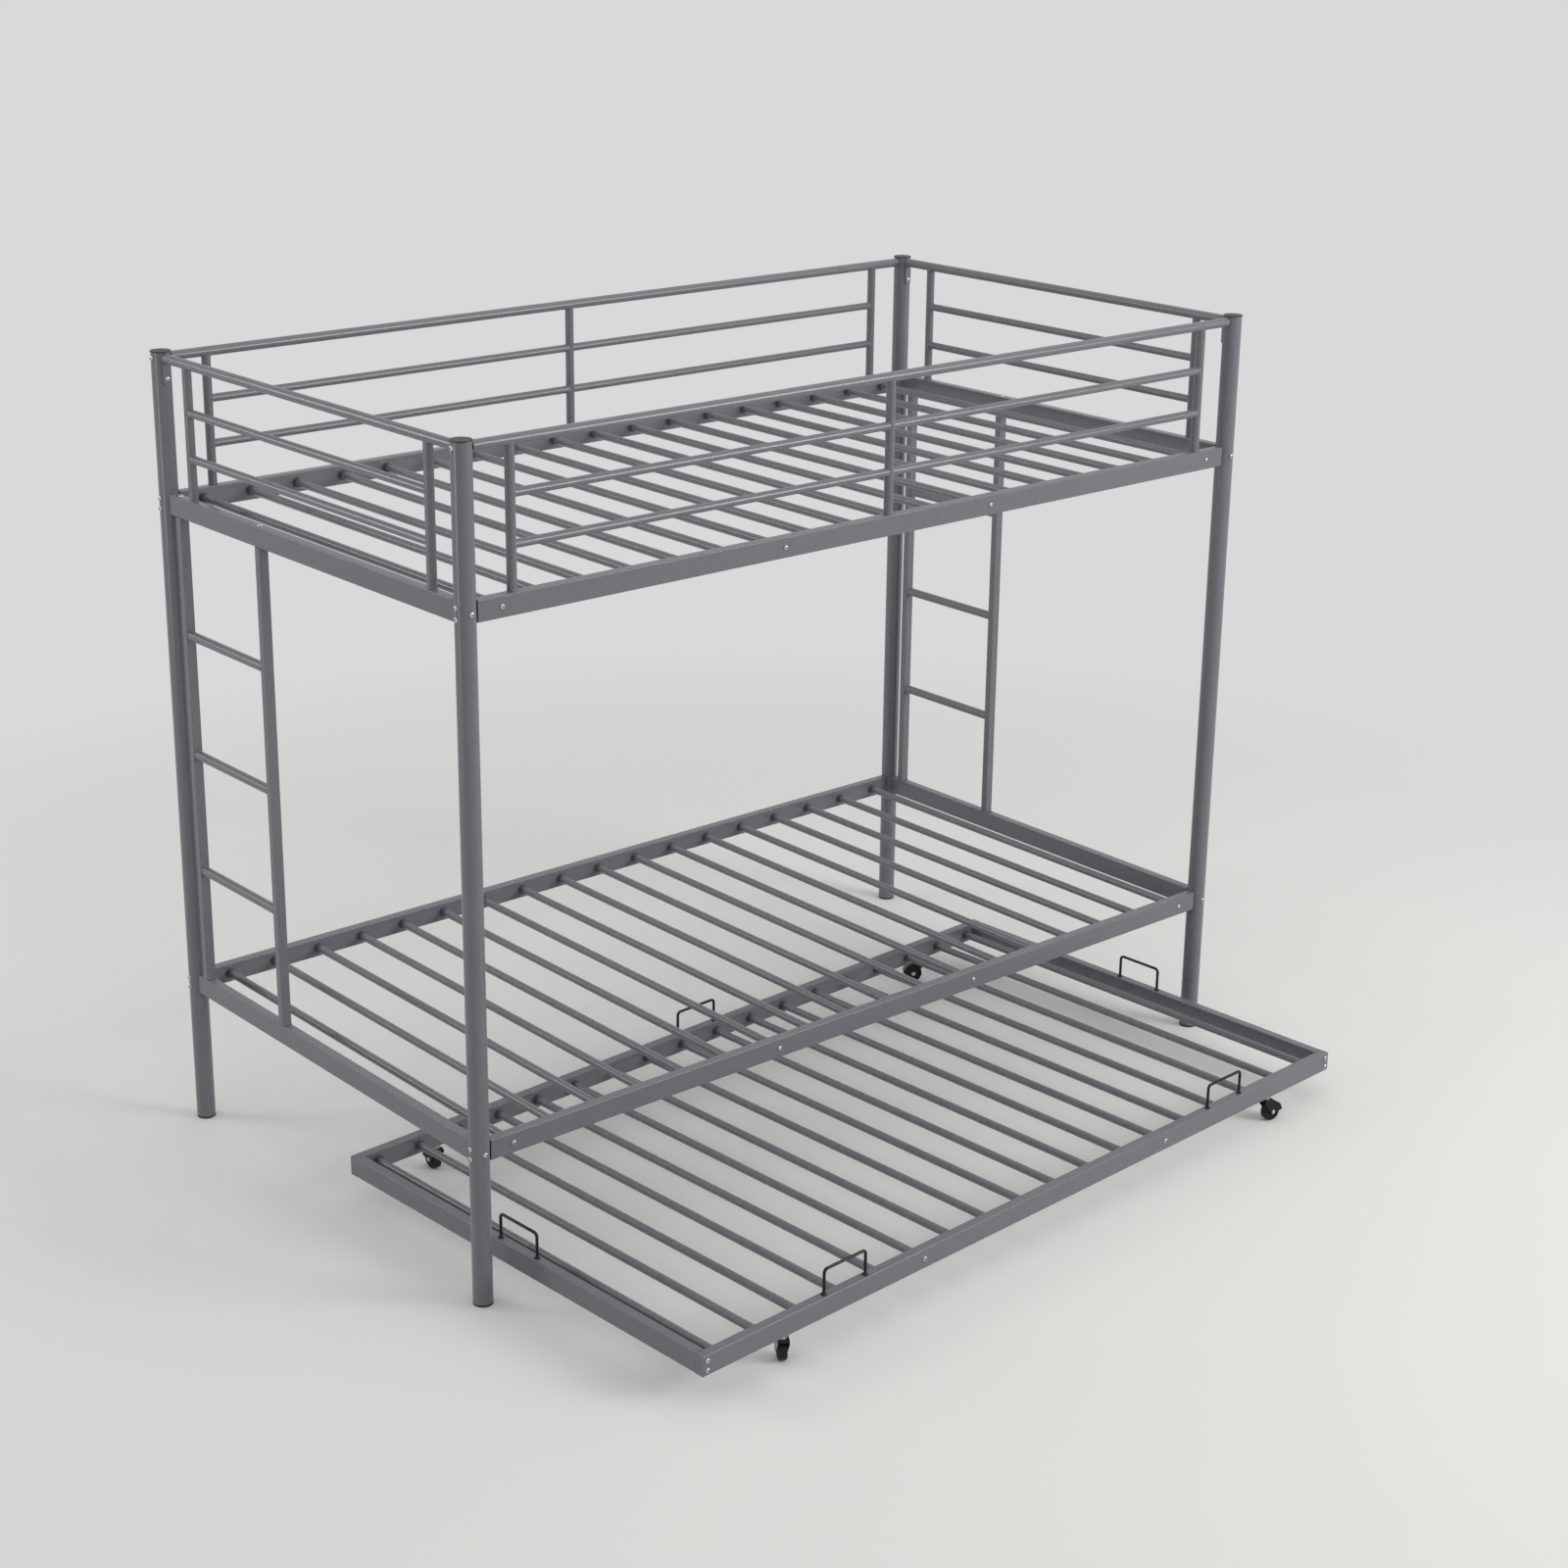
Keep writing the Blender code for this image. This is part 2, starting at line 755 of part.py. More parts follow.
# The trundle
build_trundle_frame()
build_bails()
build_caster("front_left", -caster_x, -trundle_side_y, front_left_swivel)
build_caster("front_right", caster_x, -trundle_side_y, front_right_swivel)
build_caster("rear_left", -caster_x, trundle_side_y, rear_left_swivel)
build_caster("rear_right", caster_x, trundle_side_y, rear_right_swivel)
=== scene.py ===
"""Metal bunk bed with a rolling trundle: the finished look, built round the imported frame.

Metres, in the frame's own axes: +X along the bed, +Y to the rear, +Z up.
"""

import json
import math

import bpy
from mathutils import Matrix, Vector


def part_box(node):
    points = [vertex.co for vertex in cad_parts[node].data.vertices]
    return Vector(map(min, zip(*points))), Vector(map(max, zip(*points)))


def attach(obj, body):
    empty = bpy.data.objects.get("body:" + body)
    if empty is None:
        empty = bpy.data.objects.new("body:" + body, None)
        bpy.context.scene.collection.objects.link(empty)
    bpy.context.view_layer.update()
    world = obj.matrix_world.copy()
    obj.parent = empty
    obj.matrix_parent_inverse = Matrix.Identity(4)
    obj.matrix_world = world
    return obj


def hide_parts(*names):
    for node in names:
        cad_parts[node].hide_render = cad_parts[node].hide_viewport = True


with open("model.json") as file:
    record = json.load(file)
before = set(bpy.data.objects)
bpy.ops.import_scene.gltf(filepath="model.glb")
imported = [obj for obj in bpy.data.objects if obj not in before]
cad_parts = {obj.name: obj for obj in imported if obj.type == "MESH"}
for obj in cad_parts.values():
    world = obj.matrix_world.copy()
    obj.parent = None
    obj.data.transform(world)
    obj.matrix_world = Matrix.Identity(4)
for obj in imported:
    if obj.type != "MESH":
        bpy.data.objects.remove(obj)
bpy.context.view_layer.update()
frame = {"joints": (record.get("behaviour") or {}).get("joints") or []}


# Studio. A pale floor runs out into a cooler pale backdrop a few metres from the bed.
# One wide soft lamp hangs overhead, two stand at the front right and two at the left. The
# camera looks down over the front left corner, as in the photograph.
camera_place = Vector((-3.51906, -3.97372, 2.59613))
camera_heading = -0.70993
camera_tilt = -0.32793
camera_roll = 0.00942
camera_lens = 63.73
camera_sensor = 36
camera_shift = (0.01581, -0.02002)

floor_width = 120.0
floor_colour = (0.772, 0.760, 0.728)
backdrop_colour = (0.690, 0.693, 0.693)
floor_ends_at = 1.7
backdrop_starts_at = 3.6
sky_colour = (0.95, 0.975, 1.0)
sky_strength = 0.53
# Each lamp's name, place, the point that it faces, its width and its power
lamps = (
    ("overhead_lamp", (0.3, -0.2, 4.4), (0, 0, 0), 6.0, 60),
    ("window_lamp", (3.3, -5.0, 2.9), (-0.3, 0, 1.2), 2.4, 190),
    ("right_lamp", (5.2, -3.15, 2.05), (0, 0, 0.7), 2.3, 15),
    ("rear_left_lamp", (-3.5, 3.5, 2.6), (0, 0, 1.0), 1.4, 36),
    ("left_lamp", (-4.6, 0.7, 0.7), (-0.5, 0, 0.9), 1.0, 14),
)


def add_node(tree, kind, sockets=None, **settings):
    """A shader node with its settings and the values on its sockets."""
    made = tree.nodes.new(kind)
    for setting, value in settings.items():
        setattr(made, setting, value)
    for socket, value in (sockets or {}).items():
        made.inputs[socket].default_value = value
    return made


def seen_directly(tree):
    """1 where a ray comes straight from the camera or by way of gloss or glass, else 0."""
    ray = add_node(tree, "ShaderNodeLightPath")
    total = ray.outputs["Is Camera Ray"]
    for kind in ("Is Glossy Ray", "Is Transmission Ray"):
        either = add_node(tree, "ShaderNodeMath", operation="MAXIMUM")
        tree.links.new(total, either.inputs[0])
        tree.links.new(ray.outputs[kind], either.inputs[1])
        total = either.outputs["Value"]
    return total


camera_data = bpy.data.cameras.new("camera")
camera_data.sensor_width = camera_sensor
camera_data.lens = camera_lens
camera_data.shift_x, camera_data.shift_y = camera_shift
camera = bpy.data.objects.new("camera", camera_data)
bpy.context.scene.collection.objects.link(camera)
camera.matrix_world = (
    Matrix.Translation(camera_place)
    @ Matrix.Rotation(camera_heading, 4, "Z")
    @ Matrix.Rotation(math.pi / 2 + camera_tilt, 4, "X")
    @ Matrix.Rotation(camera_roll, 4, "Z")
)
bpy.context.scene.camera = camera
bpy.context.scene.view_settings.view_transform = "Standard"

bpy.ops.object.select_all(action="DESELECT")
bpy.ops.mesh.primitive_plane_add(size=floor_width)
studio_floor = bpy.context.object
studio_floor.name = "studio_floor"
floor_paint = bpy.data.materials.new("studio_floor_paint")
floor_paint.use_nodes = True
tree = floor_paint.node_tree
tree.nodes.clear()
spot = add_node(tree, "ShaderNodeTexCoord")
distance = add_node(tree, "ShaderNodeVectorMath", operation="LENGTH")
farness = add_node(
    tree,
    "ShaderNodeMapRange",
    {"From Min": floor_ends_at, "From Max": backdrop_starts_at},
    interpolation_type="SMOOTHSTEP",
)
lit_floor = add_node(tree, "ShaderNodeBsdfDiffuse", {"Color": (*floor_colour, 1)})
backdrop = add_node(tree, "ShaderNodeEmission", {"Color": (*backdrop_colour, 1)})
shown = add_node(tree, "ShaderNodeMath", operation="MULTIPLY")
mixed = add_node(tree, "ShaderNodeMixShader")
result = add_node(tree, "ShaderNodeOutputMaterial")
tree.links.new(spot.outputs["Object"], distance.inputs[0])
tree.links.new(distance.outputs["Value"], farness.inputs["Value"])
tree.links.new(farness.outputs["Result"], shown.inputs[0])
tree.links.new(seen_directly(tree), shown.inputs[1])
tree.links.new(shown.outputs["Value"], mixed.inputs["Fac"])
tree.links.new(lit_floor.outputs["BSDF"], mixed.inputs[1])
tree.links.new(backdrop.outputs["Emission"], mixed.inputs[2])
tree.links.new(mixed.outputs["Shader"], result.inputs["Surface"])
studio_floor.data.materials.append(floor_paint)

sky = bpy.data.worlds.new("studio_sky")
bpy.context.scene.world = sky
sky.use_nodes = True
tree = sky.node_tree
tree.nodes.clear()
soft_light = add_node(
    tree, "ShaderNodeBackground", {"Color": (*sky_colour, 1), "Strength": sky_strength}
)
far_wall = add_node(tree, "ShaderNodeBackground", {"Color": (*backdrop_colour, 1)})
mixed = add_node(tree, "ShaderNodeMixShader")
result = add_node(tree, "ShaderNodeOutputWorld")
tree.links.new(seen_directly(tree), mixed.inputs["Fac"])
tree.links.new(soft_light.outputs["Background"], mixed.inputs[1])
tree.links.new(far_wall.outputs["Background"], mixed.inputs[2])
tree.links.new(mixed.outputs["Shader"], result.inputs["Surface"])

for lamp_name, lamp_place, lamp_target, lamp_width, lamp_power in lamps:
    aim = Vector(lamp_target) - Vector(lamp_place)
    bpy.ops.object.light_add(
        type="AREA", location=lamp_place, rotation=aim.to_track_quat("-Z", "Y").to_euler()
    )
    lamp = bpy.context.object
    lamp.name = lamp_name
    lamp.data.shape = "SQUARE"
    lamp.data.size = lamp_width
    lamp.data.energy = lamp_power
    lamp.visible_camera = False


# Corner posts. Four lengths of 38 mm round steel tube, one at each corner, cut square and
# powder coated grey all over. They carry both decks, the guards and the ladders' rails.
corners = ("front_left", "front_right", "rear_left", "rear_right")
post_wall = 0.0015
post_sides = 64
rim_round = 0.0004
rim_steps = 2
crease_angle = math.radians(38)
merge_distance = 1e-6
nearly_along = 0.9
mostly_across = 0.5

# Colours are main, clouded and worn. Along the coat's edges and weld beads the worn colour is
# partly wear and partly a painted highlight. Clouds, speckle, wear and sheen, and roughness are
# each a drift: the size of a patch, its lowest and its highest value. Peel and grain are size and
# depth.
coat_colours = ((0.136, 0.140, 0.157), (0.146, 0.150, 0.167), (0.215, 0.222, 0.236))
coat_clouds = (0.09, 0, 0.7)
coat_speckle = (0.0016, 0, 0.05, 3.0)
coat_wear_and_sheen = (0.018, 0.2, 0.8)
coat_edge_width = 0.0009
coat_roughness = (0.035, 0.24, 0.31)
coat_peel = (0.0024, 0.000006)
noise_low, noise_high = 0.3, 0.7
edge_starts, edge_full = 0.985, 0.88


def drift(tree, spot, size, low, high, detail=2.0):
    """A soft uneven value between low and high that changes over about the given size."""
    noise = add_node(tree, "ShaderNodeTexNoise", {"Scale": 1 / size, "Detail": detail})
    spread = add_node(
        tree,
        "ShaderNodeMapRange",
        {"From Min": noise_low, "From Max": noise_high, "To Min": low, "To Max": high},
    )
    tree.links.new(spot, noise.inputs["Vector"])
    tree.links.new(noise.outputs["Fac"], spread.inputs["Value"])
    return spread.outputs["Result"]


def times(tree, first, second):
    """The product of two values."""
    product = add_node(tree, "ShaderNodeMath", operation="MULTIPLY")
    tree.links.new(first, product.inputs[0])
    tree.links.new(second, product.inputs[1])
    return product.outputs["Value"]


def laid_over(tree, share, under, over):
    """One colour laid over another by a share; either is a colour or a socket."""
    mix = add_node(tree, "ShaderNodeMix", data_type="RGBA")
    tree.links.new(share, mix.inputs[0])
    for socket, colour in ((mix.inputs[6], under), (mix.inputs[7], over)):
        if isinstance(colour, tuple):
            socket.default_value = (*colour, 1)
        else:
            tree.links.new(colour, socket)
    return mix.outputs[2]


def on_edges(tree, width):
    """1 along outer edges, falling to 0 over the width."""
    rounded = add_node(tree, "ShaderNodeBevel", {"Radius": width}, samples=4)
    surface = add_node(tree, "ShaderNodeNewGeometry")
    likeness = add_node(tree, "ShaderNodeVectorMath", operation="DOT_PRODUCT")
    edge = add_node(
        tree,
        "ShaderNodeMapRange",
        {"From Min": edge_starts, "From Max": edge_full, "To Min": 0, "To Max": 1},
    )
    tree.links.new(rounded.outputs["Normal"], likeness.inputs[0])
    tree.links.new(surface.outputs["Normal"], likeness.inputs[1])
    tree.links.new(likeness.outputs["Value"], edge.inputs["Value"])
    return edge.outputs["Result"]


def surface_finish(
    name, colours, clouds, wear_and_sheen, edge_width, roughness, relief, speckle=None, metal=0, gloss=0.5
):
    """A finish drawn by place on the piece: clouds, paler edges that on the powder coat are
    partly a painted highlight, uneven gloss and relief.
    """
    finish = bpy.data.materials.new(name)
    finish.use_nodes = True
    tree = finish.node_tree
    shader = tree.nodes["Principled BSDF"]
    spot = add_node(tree, "ShaderNodeTexCoord").outputs["Object"]
    main, clouded, wear_and_sheen_colour = colours
    colour = laid_over(tree, drift(tree, spot, *clouds), main, clouded)
    if speckle:
        colour = laid_over(tree, drift(tree, spot, *speckle), colour, wear_and_sheen_colour)
    # The paler colour along edges is wear, and on the powder coat it is also a painted highlight
    # on edges and weld beads.
    edge_wear_and_sheen = times(tree, on_edges(tree, edge_width), drift(tree, spot, *wear_and_sheen))
    tree.links.new(laid_over(tree, edge_wear_and_sheen, colour, wear_and_sheen_colour), shader.inputs["Base Color"])
    tree.links.new(drift(tree, spot, *roughness), shader.inputs["Roughness"])
    shader.inputs["Metallic"].default_value = metal
    shader.inputs["Specular IOR Level"].default_value = gloss
    size, depth = relief
    bump = add_node(tree, "ShaderNodeBump", {"Strength": 1, "Distance": depth})
    tree.links.new(drift(tree, spot, size, 0, 1), bump.inputs["Height"])
    tree.links.new(bump.outputs["Normal"], shader.inputs["Normal"])
    return finish


def clear_selection():
    """Leave nothing selected, so that the next step touches only its own piece."""
    bpy.ops.object.select_all(action="DESELECT")


def take_up(piece):
    """Make a piece the one that is being worked on."""
    clear_selection()
    piece.select_set(True)
    bpy.context.view_layer.objects.active = piece


def pick_faces(piece, wanted):
    """Open a piece for editing with only the wanted faces selected."""
    take_up(piece)
    bpy.ops.object.mode_set(mode="EDIT")
    bpy.ops.mesh.select_mode(type="FACE")
    bpy.ops.mesh.select_all(action="DESELECT")
    bpy.ops.object.mode_set(mode="OBJECT")
    for face in piece.data.polygons:
        face.select = wanted(face.center, face.normal)
    bpy.ops.object.mode_set(mode="EDIT")


def pick_edges(piece, wanted):
    """Open a piece for editing with only the wanted edges selected."""
    take_up(piece)
    bpy.ops.object.mode_set(mode="EDIT")
    bpy.ops.mesh.select_mode(type="EDGE")
    bpy.ops.mesh.select_all(action="DESELECT")
    bpy.ops.object.mode_set(mode="OBJECT")
    for edge in piece.data.edges:
        first, second = (piece.data.vertices[number].co for number in edge.vertices)
        edge.select = wanted((first + second) / 2, (second - first).normalized())
    bpy.ops.object.mode_set(mode="EDIT")


def put_down(piece):
    """Close a piece after editing, its faces pointing outwards and its place in its mesh."""
    bpy.ops.mesh.select_all(action="SELECT")
    bpy.ops.mesh.normals_make_consistent(inside=False)
    bpy.ops.object.mode_set(mode="OBJECT")
    take_up(piece)
    bpy.ops.object.transform_apply(location=True, rotation=True, scale=True)


def round_tube(name, diameter, wall, sides, start, end):
    """A length of round tube from start to end, its open ends lightly rounded."""
    start, end = Vector(start), Vector(end)
    way = end - start
    half = way.length / 2
    clear_selection()
    bpy.ops.mesh.primitive_cylinder_add(
        vertices=sides,
        radius=diameter / 2,
        depth=way.length,
        location=(start + end) / 2,
        rotation=way.to_track_quat("Z", "Y").to_euler(),
    )
    tube = bpy.context.object
    tube.name = name
    pick_faces(tube, lambda middle, normal: abs(normal.z) > nearly_along)
    bpy.ops.mesh.inset(thickness=wall, use_individual=True)
    bpy.ops.mesh.bridge_edge_loops()
    bpy.ops.object.mode_set(mode="OBJECT")
    inside = diameter / 2 - wall / 2
    pick_edges(
        tube,
        lambda middle, way: abs(middle.z) > half - merge_distance
        and middle.xy.length > inside
        and abs(way.dot(Vector((middle.x, middle.y, 0)).normalized())) < mostly_across,
    )
    bpy.ops.mesh.bevel(offset=rim_round, segments=rim_steps, affect="EDGES")
    put_down(tube)
    return tube


def settle(piece, finish, body, slot, *nodes, place=None):
    """Finish a piece: put it in place for good and let it ride on its body."""
    if place is not None:
        piece.matrix_world = place @ piece.matrix_world
    take_up(piece)
    bpy.ops.object.transform_apply(location=True, rotation=True, scale=True)
    bpy.ops.object.shade_smooth_by_angle(angle=crease_angle)
    flat_faces = piece.modifiers.new("flat_faces", "WEIGHTED_NORMAL")
    flat_faces.keep_sharp = True
    bpy.ops.object.modifier_apply(modifier=flat_faces.name)
    piece.data.materials.clear()
    piece.data.materials.append(finish)
    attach(piece, body)
    if nodes:
        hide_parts(*nodes)


coat = surface_finish(
    "grey_powder_coat_finish",
    coat_colours,
    coat_clouds,
    coat_wear_and_sheen,
    coat_edge_width,
    coat_roughness,
    coat_peel,
    speckle=coat_speckle,
)
post_at = {}
for corner in corners:
    low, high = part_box(f"{corner}_post")
    middle = (low + high) / 2
    post_at[corner] = Vector((middle.x, middle.y, 0))
    post = round_tube(
        f"{corner}_post_tube",
        high.x - low.x,
        post_wall,
        post_sides,
        (middle.x, middle.y, low.z),
        (middle.x, middle.y, high.z),
    )
    settle(post, coat, "bed_frame", "grey_powder_coat", f"{corner}_post")
post_radius = (high.x - low.x) / 2
post_top = high.z
bed_middle_y = (post_at["front_left"].y + post_at["rear_left"].y) / 2


# Post caps and foot plugs. Moulded dark plastic, pushed into the ends of the posts: a
# low-domed lid that stands a little proud of the tube, and a thicker foot below. Each
# has a plain spigot inside the tube.
plastic_colours = ((0.021, 0.019, 0.017), (0.036, 0.033, 0.029), (0.075, 0.071, 0.064))
plastic_clouds = (0.012, 0, 0.8)
plastic_wear = (0.006, 0, 0.7)
plastic_edge_width = 0.001
plastic_roughness = (0.008, 0.40, 0.56)
plastic_grain = (0.0007, 0.00004)
spigot_gap = 0.0003
spigot_depth = 0.015
cap_dome = 0.0007
cap_edge = 0.0007
foot_edge = 0.0009
dome_steps = 6
edge_steps = 4
lathe_sides = 64


def moulded_plastic(name, colours):
    """Satin plastic with a fine moulded grain, a little paler along its edges from use."""
    return surface_finish(
        name,
        colours,
        plastic_clouds,
        plastic_wear,
        plastic_edge_width,
        plastic_roughness,
        plastic_grain,
    )


def rounded_corner(radius, height, size, start, end):
    """Points round a corner of a half section, about its centre (radius, height)."""
    points = []
    for step in range(edge_steps + 1):
        angle = math.radians(start + (end - start) * step / edge_steps)
        points.append((radius + size * math.cos(angle), height + size * math.sin(angle)))
    return points


def turned(name, half_section, sides=lathe_sides):
    """A turned piece: a closed half section of (radius, height) points spun round Z."""
    clear_selection()
    bpy.ops.mesh.primitive_circle_add(vertices=len(half_section), radius=1)
    piece = bpy.context.object
    piece.name = name
    for vertex, (radius, height) in zip(piece.data.vertices, half_section):
        vertex.co = (radius, 0, height)
    bpy.ops.object.mode_set(mode="EDIT")
    bpy.ops.mesh.select_all(action="SELECT")
    bpy.ops.mesh.spin(steps=sides, angle=2 * math.pi, center=(0, 0, 0), axis=(0, 0, 1))
    bpy.ops.mesh.select_all(action="SELECT")
    bpy.ops.mesh.remove_doubles(threshold=merge_distance)
    bpy.ops.mesh.delete_loose()
    put_down(piece)
    return piece


def low_dome(radius, height, rise):
    """Points of a low dome from its edge up to the axis."""
    points = []
    for step in range(1, dome_steps + 1):
        share = step / dome_steps
        points.append((radius * (1 - share), height + rise * (1 - (1 - share) ** 2)))
    return points


plastic = moulded_plastic("dark_plastic_finish", plastic_colours)
spigot_radius = post_radius - post_wall - spigot_gap
for corner in corners:
    place = Matrix.Translation(post_at[corner])
    low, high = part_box(f"{corner}_post_cap")
    cap_radius = (high.x - low.x) / 2
    lid_bottom = post_top + spigot_gap
    lid_shoulder = high.z - cap_dome
    section = [(0, lid_bottom - spigot_depth), (spigot_radius, lid_bottom - spigot_depth)]
    section += [(spigot_radius, lid_bottom), (cap_radius, lid_bottom)]
    section += rounded_corner(cap_radius - cap_edge, lid_shoulder - cap_edge, cap_edge, 0, 90)
    section += low_dome(cap_radius - cap_edge, lid_shoulder, cap_dome)
    cap = turned(f"{corner}_top_cap", section)
    settle(cap, plastic, "bed_frame", "dark_plastic", f"{corner}_post_cap", place=place)

    low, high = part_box(f"{corner}_foot_plug")
    foot_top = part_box(f"{corner}_post")[0].z - spigot_gap
    section = [(0, 0)]
    section += rounded_corner(post_radius - foot_edge, foot_edge, foot_edge, -90, 0)
    section += [(post_radius, foot_top), (spigot_radius, foot_top)]
    section += [(spigot_radius, high.z), (0, high.z)]
    foot = turned(f"{corner}_foot", section)
    settle(foot, plastic, "bed_frame", "dark_plastic", f"{corner}_foot_plug", place=place)


# Deck rails. Rectangular steel tube, 40 by 20 mm, standing on edge between the posts and
# bolted to them: two long side rails and two end rails for each deck. Their ends are cut
# square, so that a dark wedge shows beside the round post.
rail_thickness = 0.020
rail_height = 0.040
rail_corner = 0.002
rail_corner_steps = 4
rail_wall = 0.0012
side_axes = {"X": 0, "Y": 1, "Z": 2}


def box_tube(name, low, high, along, corner, wall):
    """Rectangular tube that fills a box; with no wall its ends are closed and flat."""
    low, high = Vector(low), Vector(high)
    axis = side_axes[along]
    clear_selection()
    bpy.ops.mesh.primitive_cube_add(size=1, location=(low + high) / 2, scale=high - low)
    tube = bpy.context.object
    tube.name = name
    bpy.ops.object.transform_apply(location=False, rotation=False, scale=True)
    pick_edges(tube, lambda middle, way: abs(way[axis]) > nearly_along)
    bpy.ops.mesh.bevel(offset=corner, segments=rail_corner_steps, affect="EDGES")
    bpy.ops.object.mode_set(mode="OBJECT")
    pick_faces(tube, lambda middle, normal: abs(normal[axis]) > nearly_along)
    if wall:
        bpy.ops.mesh.inset(thickness=wall, use_individual=True)
        bpy.ops.mesh.bridge_edge_loops()
    else:
        bpy.ops.mesh.bevel(offset=rim_round, segments=rim_steps, affect="EDGES")
    put_down(tube)
    return tube


for level in ("upper", "lower"):
    low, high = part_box(f"{level}_front_rail_and_slats")
    high.y = low.y + rail_thickness
    front_rail = box_tube(f"{level}_front_side_rail", low, high, "X", rail_corner, rail_wall)
    settle(
        front_rail, coat, "bed_frame", "grey_powder_coat", f"{level}_front_rail_and_slats"
    )
    for side, along in (("rear", "X"), ("left_end", "Y"), ("right_end", "Y")):
        node = f"{level}_{side}_rail"
        rail = box_tube(f"{node}_tube", *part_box(node), along, rail_corner, rail_wall)
        settle(rail, coat, "bed_frame", "grey_powder_coat", node)


# Deck slats. Eighteen round steel tubes across each deck, 16 mm thick. Each end sits in a
# dark grey plastic collar on a side rail's inner face, a thin flange with a short sleeve.
slat_diameter = 0.016
slat_wall = 0.001
slat_sides = 28
slat_count = 18
slat_end_distance = 0.069
collar_flange_diameter = 0.0210
collar_flange_thickness = 0.0016
collar_sleeve_diameter = 0.0184
collar_length = 0.0095
collar_edge = 0.0006
collar_sides = 32

collar_light_colour = (0.085, 0.088, 0.094)
collar_colours = ((0.058, 0.060, 0.065), collar_light_colour, collar_light_colour)


def spread_slats(count, reach):
    """Places of slats spread evenly from -reach to +reach."""
    return [-reach + 2 * reach * number / (count - 1) for number in range(count)]


def join_pieces(name, pieces):
    """Join pieces into one under a new name."""
    clear_selection()
    for piece in pieces:
        piece.select_set(True)
    bpy.context.view_layer.objects.active = pieces[0]
    bpy.ops.object.join()
    pieces[0].name = name
    return pieces[0]


def copy_to(piece, place):
    """A copy of a piece with its own mesh, at another place."""
    take_up(piece)
    bpy.ops.object.duplicate()
    twin = bpy.context.object
    twin.matrix_world = place @ piece.matrix_world
    return twin


def slat_collar():
    """One collar, its flange on the ground and its sleeve pointing up."""
    bore = slat_diameter / 2
    flange = collar_flange_diameter / 2
    sleeve = collar_sleeve_diameter / 2
    section = [(bore, 0), (flange, 0)]
    section += rounded_corner(
        flange - collar_edge, collar_flange_thickness - collar_edge, collar_edge, 0, 90
    )
    section += [(sleeve, collar_flange_thickness)]
    section += rounded_corner(
        sleeve - collar_edge, collar_length - collar_edge, collar_edge, 0, 90
    )
    section += [(bore, collar_length)]
    return turned("slat_collar", section, collar_sides)


def lay_slats(deck, places, front, back, height, body, place=None):
    """A deck's slats between the inner faces of its side rails, with their collars."""
    slat = round_tube(
        "slat", slat_diameter, slat_wall, slat_sides, (0, front, height), (0, back, height)
    )
    steps = [Matrix.Translation((x, 0, 0)) for x in places]
    for number, step in enumerate(steps, 1):
        laid = copy_to(slat, step)
        laid.name = f"{deck}_slat_{number:02d}"
        settle(laid, coat, body, "grey_powder_coat", place=place)
    bpy.data.objects.remove(slat)
    for side, y, turn in (("front", front, -math.pi / 2), ("rear", back, math.pi / 2)):
        collar = slat_collar()
        collar.matrix_world = Matrix.Translation((0, y, height)) @ Matrix.Rotation(turn, 4, "X")
        joined = join_pieces(
            f"{deck}_{side}_slat_collars", [copy_to(collar, step) for step in steps]
        )
        settle(joined, collar_plastic, body, "dark_plastic", place=place)
        bpy.data.objects.remove(collar)


collar_plastic = moulded_plastic("grey_collar_finish", collar_colours)
slat_reach = post_at["front_right"].x - slat_end_distance
for level in ("upper", "lower"):
    rear_low, rear_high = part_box(f"{level}_rear_rail")
    front_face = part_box(f"{level}_front_rail_and_slats")[0].y + rail_thickness
    lay_slats(
        level,
        spread_slats(slat_count, slat_reach),
        front_face,
        rear_low.y,
        (rear_low.z + rear_high.z) / 2,
        "bed_frame",
    )


# Guards. Welded frames of round tube that stand on the upper rails: a 19 mm top tube on
# 18 mm uprights, with two 16 mm bars let in between them. Every joint is coped and
# welded before coating. The end guards hang on the posts by a flat tab at each end.
guard_tube_diameter = 0.019
guard_upright_diameter = 0.018
guard_bar_diameter = 0.016
guard_wall = 0.0012
guard_sides = 36
guard_height = 0.263
guard_bar_heights = (0.08206, 0.17095)
guard_post_distance = 0.097
weld_thickness = 0.0011
weld_ripple_share = 0.22
weld_ripples = 15
weld_sides = 36
weld_bead_sides = 6
cope_reach_share = 1.3
tab_width = 0.015
tab_thickness = 0.002
tab_drop = 0.051
tab_post_gap = 0.0003
tab_set_in_share = 0.6
tab_round_share = 0.498
tab_round_steps = 8


def cope(tube, joint, run_way, run_radius):
    """Cut the end of a tube at a joint to the saddle that seats on a round tube there."""
    joint, run_way = Vector(joint), Vector(run_way)
    corners_of_tube = [vertex.co for vertex in tube.data.vertices]
    middle = sum(corners_of_tube, Vector()) / len(corners_of_tube)
    way = (middle - joint).normalized()
    across = way.cross(run_way)
    for vertex in tube.data.vertices:
        offset = vertex.co - joint
        if offset.length < run_radius * cope_reach_share:
            sideways = offset.dot(across)
            vertex.co += way * math.sqrt(max(run_radius**2 - sideways**2, 0))


